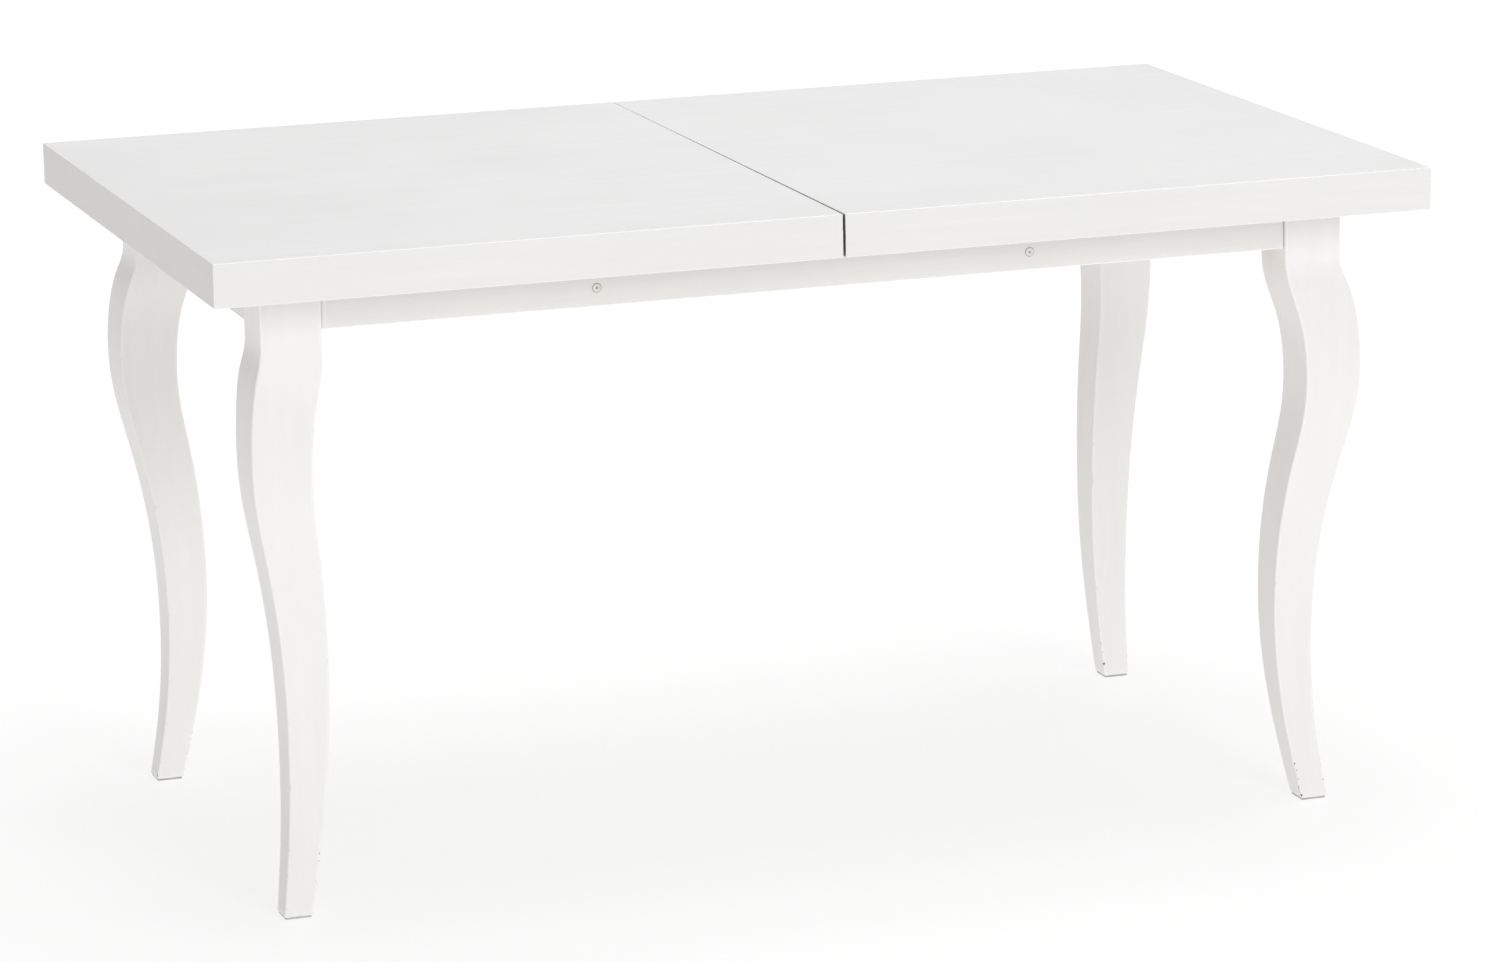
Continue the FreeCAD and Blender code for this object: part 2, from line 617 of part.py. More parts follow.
def catch_arm():
    """Hooked arm, drawn closed along +X and then turned to its open rest place."""
    pivot = catch_pivot()
    half = CATCH_ARM_WIDTH / 2
    tip = pivot.x + CATCH_ARM + half
    z = (CATCH_ARM_BOTTOM, CATCH_ARM_TOP)
    arm = block((pivot.x, tip), (pivot.y - half, pivot.y + half), z)
    eye = rod(CATCH_ARM_WIDTH, CATCH_ARM_THICKNESS, V(pivot.x, pivot.y, z[0]), UP)
    tab = block((tip - CATCH_ARM_THICKNESS, tip), (pivot.y, pivot.y + half),
                (z[0] - CATCH_TAB_DEPTH, z[0]))
    slot_half = STUD_DIAMETER / 2 + STUD_SLOT_PLAY
    stud = V(pivot.x + CATCH_ARM, pivot.y, z[0])
    slot = block((stud.x - slot_half, stud.x + slot_half), (pivot.y - half, pivot.y), z)
    slot = slot.fuse(rod(2 * slot_half, CATCH_ARM_THICKNESS, stud, UP))
    bore = rod(CATCH_PIN_DIAMETER + 2 * CATCH_PIN_PLAY, CATCH_ARM_THICKNESS,
               V(pivot.x, pivot.y, z[0]), UP)
    shape = arm.fuse([eye, tab]).removeSplitter().cut(slot).cut(bore)
    shape.rotate(pivot, UP, CATCH_OPEN_ANGLE)
    return shape


# ---- extension leaf, stored lengthwise -------------------------------------
def leaf_pins():
    edge, z = LEAF_WIDTH / 2, LEAF_BOTTOM + BOARD_THICKNESS / 2
    return [rod(PIN_DIAMETER, PIN_IN_BOARD + PIN_STICKS_OUT, V(x, edge - PIN_IN_BOARD, z), ACROSS_Y)
            for x in pin_rows()]


def leaf_board():
    x, y = TABLE_WIDTH / 2, LEAF_WIDTH / 2
    top = LEAF_BOTTOM + BOARD_THICKNESS
    shape = block((-x, x), (-y, y), (LEAF_BOTTOM, top))
    rims = outer_edges(shape, lambda p: near(abs(p.x), x) and near(p.z, top))
    play = 2 * PIN_SOCKET_PLAY
    sockets = [rod(PIN_DIAMETER + play, PIN_STICKS_OUT + play,
                   V(row, -y, LEAF_BOTTOM + BOARD_THICKNESS / 2), ACROSS_Y) for row in pin_rows()]
    return drill(shape.makeFillet(EDGE_ROUNDING, rims), sockets + leaf_pins())


def leaf_strip():
    x, y = TABLE_WIDTH / 2, LEAF_WIDTH / 2
    low = LEAF_BOTTOM - (EDGE_DEPTH - BOARD_THICKNESS)
    shape = block((-x, -x + EDGE_STRIP_WIDTH), (-y, y), (low, LEAF_BOTTOM))
    rim = outer_edges(shape, lambda p: near(p.x, -x) and near(p.z, low))
    return shape.makeFillet(EDGE_ROUNDING, rim)


# ---- all nodes -------------------------------------------------------------
def both_ends(shapes):
    """Front-left shapes and their front-right copies."""
    return shapes + [flip_x(one) for one in shapes]


def both_sides(shapes):
    """Front shapes and their back copies."""
    return shapes + [flip_y(one) for one in shapes]


def frame_nodes():
    corners = ("front_left", "front_right", "back_left", "back_right")
    nodes = {"leg_" + name: [one] for name, one in zip(corners, four_corners(leg()))}
    nodes["foot_glides"] = four_corners(foot_glide())
    nodes["apron_front"] = [long_apron()]
    nodes["apron_back"] = [flip_y(long_apron())]
    nodes["apron_left"] = [end_apron()]
    nodes["apron_right"] = [flip_x(end_apron())]
    nodes["corner_blocks"] = four_corners(corner_block())
    nodes["hanger_bolts"] = both_sides(both_ends(hanger_bolts()))
    nodes["hanger_washers"] = both_sides(both_ends(hanger_washers()))
    nodes["hanger_nuts"] = both_sides(both_ends(hanger_nuts()))
    nodes["cross_rail_left"] = [cross_rail()]
    nodes["cross_rail_right"] = [flip_x(cross_rail())]
    nodes["rail_bolts"] = four_corners(rail_bolt())
    nodes["cover_caps"] = four_corners(cover_cap())
    nodes["leaf_rest_pads"] = four_corners(rest_pad())
    nodes["top_glides"] = both_sides(both_ends(top_glides()))
    channels = four_corners(runner_channel())
    nodes.update({"runner_channel_" + name: [one] for name, one in zip(corners, channels)})
    nodes["channel_screws"] = both_sides(both_ends(channel_screws()))
    nodes["leaf_board"] = [leaf_board()]
    nodes["leaf_edge_strips"] = [leaf_strip(), flip_x(leaf_strip())]
    nodes["leaf_pins"] = leaf_pins()
    return nodes


def half_top_nodes(side, place):
    """Nodes of one half top; place moves a left-hand shape to its side."""
    pins = split_pins() if side == "left" else []
    bores = split_pins() if side == "left" else [flip_x(one) for one in split_sockets()]
    hardware = catch_base if side == "left" else catch_keeper
    hardware_screws = catch_base_screws() if side == "left" else keeper_screws()
    to_left = (lambda shape: shape) if side == "left" else flip_x
    plates = both_sides([hardware()])
    plate_screws = both_sides(hardware_screws)
    under = both_sides(batten_screws()) + [to_left(one) for one in plate_screws]
    nodes = {
        "top_board_" + side: [place(drill(top_board(), bores + under))],
        "edge_strip_front_" + side: [place(top_side_strip())],
        "edge_strip_back_" + side: [place(flip_y(top_side_strip()))],
        "edge_strip_end_" + side: [place(top_end_strip())],
        "slide_battens_" + side: [place(one) for one in both_sides([slide_batten()])],
        "slide_bars_" + side: [place(one) for one in both_sides([slide_bar()])],
        "bar_screws_" + side: [place(one) for one in both_sides(bar_screws())],
        "batten_screws_" + side: [place(one) for one in both_sides(batten_screws())],
        "ball_cages_" + side: [place(one) for one in both_sides([ball_cage()])],
        "bearing_balls_" + side: [place(one) for one in both_sides(bearing_balls())],
    }
    name = "catch_bases" if side == "left" else "catch_keepers"
    nodes[name] = plates
    nodes[name[:-1] + "_screws"] = plate_screws
    if pins:
        nodes["alignment_pins"] = pins
    return nodes


def all_nodes():
    nodes = frame_nodes()
    nodes.update(half_top_nodes("left", lambda shape: shape))
    nodes.update(half_top_nodes("right", flip_x))
    nodes["catch_arm_front"] = [catch_arm()]
    nodes["catch_arm_back"] = [flip_y(catch_arm())]
    return nodes


def write_nodes(nodes):
    os.makedirs("parts", exist_ok=True)
    for name, solids in nodes.items():
        shape = solids[0] if len(solids) == 1 else Part.makeCompound(solids)
        if len(shape.Solids) != len(solids) or not shape.isValid():
            raise RuntimeError("%s: %d solids, expected %d" % (name, len(shape.Solids), len(solids)))
        shape.exportStep("parts/%s.step" % name)


write_nodes(all_nodes())
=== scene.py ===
import json
import math

import bmesh
import bpy
import numpy as np
from mathutils import Matrix, Vector


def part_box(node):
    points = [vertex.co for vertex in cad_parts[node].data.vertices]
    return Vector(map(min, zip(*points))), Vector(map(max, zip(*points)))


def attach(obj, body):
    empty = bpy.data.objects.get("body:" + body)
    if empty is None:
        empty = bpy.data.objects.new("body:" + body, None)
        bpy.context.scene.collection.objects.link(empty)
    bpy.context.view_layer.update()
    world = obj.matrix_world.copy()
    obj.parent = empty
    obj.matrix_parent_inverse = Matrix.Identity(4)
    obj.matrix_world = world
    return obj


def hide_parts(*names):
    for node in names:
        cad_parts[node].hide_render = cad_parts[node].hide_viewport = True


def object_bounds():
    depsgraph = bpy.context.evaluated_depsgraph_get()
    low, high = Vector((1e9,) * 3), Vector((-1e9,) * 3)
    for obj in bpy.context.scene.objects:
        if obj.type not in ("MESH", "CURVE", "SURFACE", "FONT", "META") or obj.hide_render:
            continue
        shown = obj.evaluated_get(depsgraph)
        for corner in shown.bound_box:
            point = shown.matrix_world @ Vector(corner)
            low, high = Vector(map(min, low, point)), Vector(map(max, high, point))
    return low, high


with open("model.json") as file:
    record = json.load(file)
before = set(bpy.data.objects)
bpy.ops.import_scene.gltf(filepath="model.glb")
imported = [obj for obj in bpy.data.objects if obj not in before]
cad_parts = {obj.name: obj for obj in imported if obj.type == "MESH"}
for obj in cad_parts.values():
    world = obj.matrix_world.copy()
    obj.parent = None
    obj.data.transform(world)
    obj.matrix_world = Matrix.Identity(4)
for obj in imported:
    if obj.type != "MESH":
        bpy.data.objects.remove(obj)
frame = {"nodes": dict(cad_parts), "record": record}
cad_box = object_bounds()


# ---------------------------------------------------------------------------
# Cabriole legs: solid beech, bandsawn to the same double curve on both faces,
# arrises rounded by hand, then primed and sprayed with white satin lacquer.
# Each is bolted into its corner of the under-frame through the corner block.
# ---------------------------------------------------------------------------
LEG_CORNERS = {"front_left": (-1, -1), "front_right": (1, -1),
               "back_left": (-1, 1), "back_right": (1, 1)}
# Share of the curved height, then how far the outer and inner faces stand out
# from the head's outer face, in metres.
LEG_STATIONS = np.array([
    (0.000, -0.0070, -0.0394),
    (0.125, -0.0170, -0.0543),
    (0.290, -0.0217, -0.0670),
    (0.470, -0.0154, -0.0679),
    (0.620, 0.0003, -0.0590),
    (0.735, 0.0150, -0.0494),
    (0.820, 0.0183, -0.0493),
    (0.895, 0.0150, -0.0556),
    (0.955, 0.0070, -0.0652),
    (1.000, 0.0000, -0.0680)])
LEG_HEAD = 0.068
LEG_HEAD_BELOW_APRON = 0.015
LEG_ARRIS = 0.0025
LEG_FOOT_EASING = 0.0008
LEG_RINGS = 110
HEAD_RINGS = 6
OVERHANG_END = 0.070
OVERHANG_SIDE = 0.086


def bend_through(stations, values, at):
    """Cubic through the stations: the second derivatives solve a tridiagonal system,
    zero at the foot, with a slope of zero at the head, where the leg runs straight."""
    h = np.diff(stations)
    count = len(stations)
    system = np.zeros((count, count))
    rhs = np.zeros(count)
    inner = np.arange(1, count - 1)
    system[inner, inner - 1] = h[:-1]
    system[inner, inner] = 2 * (h[:-1] + h[1:])
    system[inner, inner + 1] = h[1:]
    slopes = np.diff(values) / h
    rhs[1:-1] = 6 * np.diff(slopes)
    system[0, 0] = 1
    system[-1, -2:] = h[-1], 2 * h[-1]
    rhs[-1] = -6 * slopes[-1]
    curve = np.linalg.solve(system, rhs)
    k = np.clip(np.searchsorted(stations, at) - 1, 0, count - 2)
    a, b = (stations[k + 1] - at) / h[k], (at - stations[k]) / h[k]
    return (a * values[k] + b * values[k + 1]
            + ((a ** 3 - a) * curve[k] + (b ** 3 - b) * curve[k + 1]) * h[k] ** 2 / 6)


def skin(name, rings, smooth, arris, looped=False):
    """Closed mesh: quads between neighbouring rings of points (ring, point, xyz), and one
    flat face over each end, or quads from the last ring back to the first if looped.
    smooth marks the quads that are curved, arris the points on the arrises, which take wear and a painted
    highlight."""
    if looped:
        rings = np.concatenate([rings, rings[:1]])
    count, around = rings.shape[:2]
    grid = np.arange(count * around).reshape(count, around)
    if looped:
        grid[-1] = grid[0]
        rings = rings[:-1]
    nxt = np.roll(grid, -1, axis=1)
    quads = np.stack([grid[:-1], nxt[:-1], nxt[1:], grid[1:]], axis=-1).reshape(-1, 4)
    points = rings.reshape(-1, 3)
    a, b, c, d = (points[quads[:, i]] - points.mean(0) for i in range(4))
    volume = (a * np.cross(b, c)).sum() + (a * np.cross(c, d)).sum()
    ends = [] if looped else [grid[0][::-1].tolist(), grid[-1].tolist()]
    faces = quads.tolist() + ends
    if volume < 0:
        faces = [face[::-1] for face in faces]
    mesh = bpy.data.meshes.new(name)
    mesh.from_pydata(points.tolist(), [], faces)
    mesh.polygons.foreach_set("use_smooth", smooth.reshape(-1).tolist() + [False] * len(ends))
    worn = mesh.attributes.new("arris", "FLOAT", "POINT")
    worn.data.foreach_set("value", np.ascontiguousarray(arris, np.float32).reshape(-1))
    mesh.update()
    piece = bpy.data.objects.new(name, mesh)
    bpy.context.scene.collection.objects.link(piece)
    return piece


def rounded_square(side, radius, steps=6, margin=0.0012):
    """Square from 0 to 1 on both axes times side, its corners quarter circles of radius;
    each straight side has a point margin in from both ends, which keeps its shading flat.
    Gives the points and whether each lies inside a corner."""
    turn = np.linspace(0, math.pi / 2, steps + 1)
    corner = np.stack([1 - np.sin(turn[::-1]), 1 - np.cos(turn[::-1])], axis=-1)
    inside = np.r_[False, np.ones(steps - 1, bool), False]
    side = np.asarray(side, float)[:, None, None]
    loops, marks = [], []
    for quarter in range(4):
        c, s = round(math.cos(quarter * math.pi / 2)), round(math.sin(quarter * math.pi / 2))
        local = np.concatenate([np.array([[0, 1 + margin / radius]]), corner,
                                np.array([[1 + margin / radius, 0]])])
        local = local * radius - side / 2
        loops.append(local @ np.array([[c, s], [-s, c]]))
        marks.append(np.r_[False, inside, False])
    return np.concatenate(loops, axis=1) + side / 2, np.concatenate(marks)


def cabriole_leg(name, sides):
    """At each height the section is a rounded square from the outer to the inner face of
    the curve, in both directions alike; the curve is straight above the knee."""
    low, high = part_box("leg_" + name)
    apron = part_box("apron_front")[0].z
    knee_end = apron - LEG_HEAD_BELOW_APRON
    share = np.linspace(0, 1, LEG_RINGS)
    head = np.linspace(knee_end, high.z, HEAD_RINGS + 1)[1:]
    z = np.r_[low.z + (knee_end - low.z) * share, head]
    outer = bend_through(LEG_STATIONS[:, 0], LEG_STATIONS[:, 1], share)
    inner = bend_through(LEG_STATIONS[:, 0], LEG_STATIONS[:, 2], share)
    outer, inner = np.r_[outer, np.zeros(HEAD_RINGS)], np.r_[inner, np.full(HEAD_RINGS, -LEG_HEAD)]
    section, in_corner = rounded_square(outer - inner, LEG_ARRIS)
    reach = np.array([cad_half[0] - OVERHANG_END, cad_half[1] - OVERHANG_SIDE])
    plan = (reach + outer[:, None])[:, None, :] - section
    eased = plan[:1] + (plan[:1].mean(1, keepdims=True) - plan[:1]) * (
        LEG_FOOT_EASING / (plan[0, :, 0].max() - plan[0, :, 0].min()) * 2)
    plan = np.concatenate([eased, plan])
    z = np.r_[z[0], z[0] + LEG_FOOT_EASING, z[1:]]
    depth = np.broadcast_to(z[:, None, None], plan[..., :1].shape)
    rings = np.dstack([plan * np.array(sides), depth])
    smooth = np.ones((len(rings) - 1, rings.shape[1]), bool)
    arris = np.broadcast_to(in_corner, rings.shape[:2]).astype(float)
    return skin("cabriole_leg_" + name, rings, smooth, arris)


cad_half = np.array(cad_box[1], float)[:2]
body_of_node = {node: body for body, nodes in frame["record"]["behaviour"]["bodies"].items()
                for node in nodes}


def fit(piece, finish, *nodes, raw=None):
    """Gives the piece its finish, and raw as a second one, and puts it in the place of the
    CAD nodes that it stands for."""
    piece.data.materials.append(finish)
    if raw:
        piece.data.materials.append(raw)
    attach(piece, body_of_node[nodes[0]])
    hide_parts(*nodes)
    return piece


def new_group(name, inputs, outputs):
    """Empty shader node group with the named sockets; gives it and its two end nodes."""
    group = bpy.data.node_groups.new(name, "ShaderNodeTree")
    for direction, sockets in (("INPUT", inputs), ("OUTPUT", outputs)):
        for label, kind, value in sockets:
            socket = group.interface.new_socket(label, in_out=direction,
                                                socket_type="NodeSocket" + kind)
            if value is not None:
                socket.default_value = value
    return group, group.nodes.new("NodeGroupInput"), group.nodes.new("NodeGroupOutput")


def add(tree, kind, values=None, links=None, **settings):
    """Adds a shader node, sets its settings and input values, and links its inputs."""
    node = tree.nodes.new("ShaderNode" + kind)
    for key, value in settings.items():
        setattr(node, key, value)
    for key, value in (values or {}).items():
        node.inputs[key].default_value = value
    for key, socket in (links or {}).items():
        tree.links.new(socket, node.inputs[key])
    return node


def spread(tree, socket, low, high, to_low=0.0, to_high=1.0):
    """Maps the stretch low to high of a value smoothly onto to_low to to_high."""
    node = add(tree, "MapRange", {"From Min": low, "From Max": high,
                                  "To Min": to_low, "To Max": to_high},
               {"Value": socket}, interpolation_type="SMOOTHSTEP")
    return node.outputs["Result"]


def blend_colours(tree, share, first, second):
    """Mix of two colour sockets or values by the share socket."""
    node = tree.nodes.new("ShaderNodeMix")
    node.data_type = "RGBA"
    tree.links.new(share, node.inputs["Factor"])
    for index, colour in ((6, first), (7, second)):
        if isinstance(colour, bpy.types.NodeSocket):
            tree.links.new(colour, node.inputs[index])
        else:
            node.inputs[index].default_value = colour
    return node.outputs[2]


def make_tone_drift():
    """Slow change of tone over a piece: three-octave noise on object coordinates moves the
    colour between Light and Dark, and gives its own value as Mask."""
    group, given, result = new_group(
        "tone_drift",
        [("Light", "Color", (1, 1, 1, 1)), ("Dark", "Color", (0.9, 0.9, 0.9, 1)),
         ("Scale", "Float", 4.0), ("Sharpness", "Float", 0.5)],
        [("Color", "Color", None), ("Mask", "Float", None)])
    place = add(group, "TexCoord").outputs["Object"]
    noise = add(group, "TexNoise", {"Detail": 3.0},
                {"Vector": place, "Scale": given.outputs["Scale"],
                 "Roughness": given.outputs["Sharpness"]})
    mask = spread(group, noise.outputs["Fac"], 0.35, 0.65)
    colour = blend_colours(group, mask, given.outputs["Light"], given.outputs["Dark"])
    group.links.new(colour, result.inputs["Color"])
    group.links.new(mask, result.inputs["Mask"])
    return group


def make_spray_texture():
    """Skin of a sprayed coat: fine orange peel plus a few raised dust nibs, as Height, and
    the roughness that goes with them, between Smooth and Dull."""
    group, given, result = new_group(
        "spray_texture",
        [("Peel Scale", "Float", 260.0), ("Smooth", "Float", 0.3), ("Dull", "Float", 0.4)],
        [("Height", "Float", None), ("Roughness", "Float", None)])
    place = add(group, "TexCoord").outputs["Object"]
    peel = add(group, "TexNoise", {"Detail": 2.0, "Roughness": 0.45},
               {"Vector": place, "Scale": given.outputs["Peel Scale"]})
    nibs = add(group, "TexVoronoi", {"Scale": 55.0, "Randomness": 1.0}, {"Vector": place})
    nib = spread(group, nibs.outputs["Distance"], 0.035, 0.0, 0.0, 1.0)
    height = add(group, "Math", {}, operation="ADD")
    group.links.new(peel.outputs["Fac"], height.inputs[0])
    group.links.new(nib, height.inputs[1])
    patches = add(group, "TexNoise", {"Scale": 7.0, "Detail": 4.0, "Roughness": 0.6},
                  {"Vector": place})
    rough = add(group, "MapRange", {"From Min": 0.3, "From Max": 0.7},
                {"Value": patches.outputs["Fac"], "To Min": given.outputs["Smooth"],
                 "To Max": given.outputs["Dull"]})
    group.links.new(height.outputs["Value"], result.inputs["Height"])
    group.links.new(rough.outputs["Result"], result.inputs["Roughness"])
    return group


def make_arris_wear():
    """Where handling has rubbed or chipped an arris: the piece's own arris attribute times
    noise, sparser for a higher Threshold; Chips are small hard-edged spots of the same, and
    Arris is the attribute itself."""
    group, given, result = new_group(
        "arris_wear",
        [("Threshold", "Float", 0.6), ("Chip Threshold", "Float", 0.72)],
        [("Arris", "Float", None), ("Rub", "Float", None), ("Chips", "Float", None)])
    place = add(group, "TexCoord").outputs["Object"]
    arris = add(group, "Attribute", attribute_name="arris").outputs["Fac"]
    group.links.new(arris, result.inputs["Arris"])
    broad = add(group, "TexNoise", {"Scale": 38.0, "Detail": 4.0, "Roughness": 0.6},
                {"Vector": place})
    fine = add(group, "TexNoise", {"Scale": 230.0, "Detail": 3.0, "Roughness": 0.55},
               {"Vector": place})
    for noise, limit, width, label in ((broad, "Threshold", 0.08, "Rub"),
                                       (fine, "Chip Threshold", 0.015, "Chips")):
        above = add(group, "MapRange", {"To Min": 0.0, "To Max": 1.0},
                    {"Value": noise.outputs["Fac"], "From Min": given.outputs[limit]})
        top = add(group, "Math", {1: width}, {0: given.outputs[limit]}, operation="ADD")
        group.links.new(top.outputs["Value"], above.inputs["From Max"])
        worn = add(group, "Math", {}, {0: arris, 1: above.outputs["Result"]}, operation="MULTIPLY")
        group.links.new(worn.outputs["Value"], result.inputs[label])
    return group


def make_wood_grain():
    """Straight grain along one axis: object coordinates, stretched by Stretch, drive noise
    that is long along the grain; fine pores are the same noise at a higher frequency."""
    group, given, result = new_group(
        "wood_grain",
        [("Stretch", "Vector", (4, 60, 60)), ("Light", "Color", (0.7, 0.5, 0.3, 1)),
         ("Dark", "Color", (0.5, 0.33, 0.18, 1)), ("Pore", "Color", (0.3, 0.18, 0.1, 1))],
        [("Color", "Color", None), ("Height", "Float", None), ("Pores", "Float", None)])
    place = add(group, "TexCoord").outputs["Object"]
    run = add(group, "VectorMath", {}, {0: place, 1: given.outputs["Stretch"]}, operation="MULTIPLY")
    bands = add(group, "TexNoise", {"Scale": 1.0, "Detail": 5.0, "Roughness": 0.6,
                                    "Distortion": 0.4}, {"Vector": run.outputs["Vector"]})
    pores = add(group, "TexNoise", {"Scale": 14.0, "Detail": 2.0, "Roughness": 0.5},
                {"Vector": run.outputs["Vector"]})
    band = spread(group, bands.outputs["Fac"], 0.3, 0.7)
    pore = spread(group, pores.outputs["Fac"], 0.62, 0.80)
    colour = blend_colours(group, band, given.outputs["Light"], given.outputs["Dark"])
    colour = blend_colours(group, pore, colour, given.outputs["Pore"])
    height = add(group, "Math", {1: -0.7}, {0: pore, 2: band}, operation="MULTIPLY_ADD")
    group.links.new(colour, result.inputs["Color"])
    group.links.new(height.outputs["Value"], result.inputs["Height"])
    group.links.new(pore, result.inputs["Pores"])
    return group


tone_drift = make_tone_drift()
wood_grain = make_wood_grain()
spray_texture = make_spray_texture()
arris_wear = make_arris_wear()


def place_group(tree, group, **values):
    """Puts a node group in a material with its own values for the named inputs."""
    node = tree.nodes.new("ShaderNodeGroup")
    node.node_tree = group
    for key, value in values.items():
        node.inputs[key.replace("_", " ")].default_value = value
    return node


def new_finish(name, **principled):
    """Material with a Principled shader; gives the material, its tree and the shader."""
    finish = bpy.data.materials.new(name)
    finish.use_nodes = True
    tree = finish.node_tree
    shader = tree.nodes["Principled BSDF"]
    for key, value in principled.items():
        shader.inputs[key.replace("_", " ")].default_value = value
    return finish, tree, shader


def bump_into(tree, shader, height, strength, distance):
    """Turns a height into the shader's normal."""
    node = add(tree, "Bump", {"Strength": strength, "Distance": distance}, {"Height": height})
    tree.links.new(node.outputs["Normal"], shader.inputs["Normal"])


def multiply_colours(tree, first, second):
    """Product of two colour sockets, channel by channel."""
    node = tree.nodes.new("ShaderNodeMix")
    node.data_type, node.blend_type = "RGBA", "MULTIPLY"
    node.inputs["Factor"].default_value = 1.0
    tree.links.new(first, node.inputs[6])
    tree.links.new(second, node.inputs[7])
    return node.outputs[2]


# Colour that every arris is lightened towards: a painted highlight.
ARRIS_HIGHLIGHT = (0.92, 0.92, 0.915, 1)
PRIMER = (0.66, 0.645, 0.62, 1)
CHIPPED_WOOD = (0.13, 0.10, 0.075, 1)
# Height, as a share of chip_height, below which the chips are as many as they get.
CHIPS_FULL = 0.6


def white_lacquer(name, light, dark, grain_run, smooth, dull, wear, chips, chip_height=None):
    """Sprayed white satin lacquer: tone drift, the grain below showing faintly through,
    orange peel, arrises lighter all along as a painted highlight, worn to the warm grey primer
    and chipped to the wood. With a chip_height the chips gather below it, where shoes and brooms knock."""
    finish, tree, shader = new_finish(name, Specular_IOR_Level=0.28)
    drift = place_group(tree, tone_drift, Light=light, Dark=dark, Scale=3.0)
    grain = place_group(tree, wood_grain, Stretch=grain_run, Light=(1, 1, 1, 1),
                        Dark=(0.982, 0.98, 0.976, 1), Pore=(0.965, 0.962, 0.957, 1))
    spray = place_group(tree, spray_texture, Smooth=smooth, Dull=dull)
    worn = place_group(tree, arris_wear, Threshold=wear, Chip_Threshold=chips)
    colour = multiply_colours(tree, drift.outputs["Color"], grain.outputs["Color"])
    # Every arris is lightened along its whole length: a painted highlight.
    painted_highlight = spread(tree, worn.outputs["Arris"], 0.0, 1.0, 0.0, 0.75)
    colour = blend_colours(tree, painted_highlight, colour, ARRIS_HIGHLIGHT)
    rub = spread(tree, worn.outputs["Rub"], 0.0, 1.0, 0.0, 0.35)
    colour = blend_colours(tree, rub, colour, PRIMER)
    chipped = worn.outputs["Chips"]
    if chip_height:
        height = add(tree, "SeparateXYZ", {}, {0: add(tree, "TexCoord").outputs["Object"]})
        low_down = spread(tree, height.outputs["Z"], chip_height, chip_height * CHIPS_FULL)
        chipped = add(tree, "Math", {}, {0: chipped, 1: low_down},
                      operation="MULTIPLY").outputs["Value"]
    colour = blend_colours(tree, chipped, colour, CHIPPED_WOOD)
    tree.links.new(colour, shader.inputs["Base Color"])
    tree.links.new(spray.outputs["Roughness"], shader.inputs["Roughness"])
    raised = add(tree, "Math", {1: 0.5}, {0: grain.outputs["Height"], 2: spray.outputs["Height"]},
                 operation="MULTIPLY_ADD")
    sunk = add(tree, "Math", {1: -4.0}, {0: chipped, 2: raised.outputs["Value"]},
               operation="MULTIPLY_ADD")
    bump_into(tree, shader, sunk.outputs["Value"], 0.35, 0.00004)
    return finish


GRAIN_UP, GRAIN_ALONG, GRAIN_ACROSS = (60, 60, 4), (3, 90, 90), (90, 3, 90)
leg_lacquer = white_lacquer("leg_lacquer", (0.865, 0.865, 0.865, 1), (0.852, 0.851, 0.848, 1),
                            GRAIN_UP, smooth=0.32, dull=0.42, wear=0.60, chips=0.635,
                            chip_height=0.09)
for name, sides in LEG_CORNERS.items():
    fit(cabriole_leg(name, sides), leg_lacquer, "leg_" + name)


# ---------------------------------------------------------------------------
# Foot glides: thin square pads of grey plastic, one nailed under each foot.
# They show as a fine grey line between the foot and the floor.
# ---------------------------------------------------------------------------
GLIDE_MARGIN = 0.0015
GLIDE_CORNER = 0.0015
GLIDE_EASING = 0.0006
ARC_STEPS = 5


def eased_outline(corners, inset, radius, steps=ARC_STEPS):
    """Polygon moved inwards by inset (one value for each side) with its corners rounded:
    each corner is where its two moved sides meet, then an arc between the tangent points."""
    corners = np.asarray(corners, float)
    along = np.roll(corners, -1, axis=0) - corners
    along /= np.linalg.norm(along, axis=1, keepdims=True)
    normal = np.stack([along[:, 1], -along[:, 0]], axis=-1)
    offset = (normal * corners).sum(1) - inset
    before = np.roll(normal, 1, axis=0)
    meet = np.linalg.solve(np.stack([before, normal], axis=1),
                           np.stack([np.roll(offset, 1), offset], axis=-1)[..., None])[..., 0]
    back, ahead = -np.roll(along, 1, axis=0), along
    radius = np.maximum(np.asarray(radius, float) - np.minimum(inset, np.roll(inset, 1)), 2e-5)
    half = np.arccos(np.clip((back * ahead).sum(1), -1, 1)) / 2
    cut = radius / np.tan(half)
    start, end = meet + back * cut[:, None], meet + ahead * cut[:, None]
    bisector = (back + ahead) / np.linalg.norm(back + ahead, axis=1, keepdims=True)
    centre = meet + bisector * (radius / np.sin(half))[:, None]
    t = np.linspace(0, 1, steps + 1)[None, :, None]
    sweep = (math.pi - 2 * half)[:, None, None]
    a, b = (start - centre)[:, None], (end - centre)[:, None]
    arc = (np.sin((1 - t) * sweep) * a + np.sin(t * sweep) * b) / np.sin(sweep)
    inside = np.tile(np.r_[False, np.ones(steps - 1, bool), False], len(corners))
    return (centre[:, None] + arc).reshape(-1, 2), inside


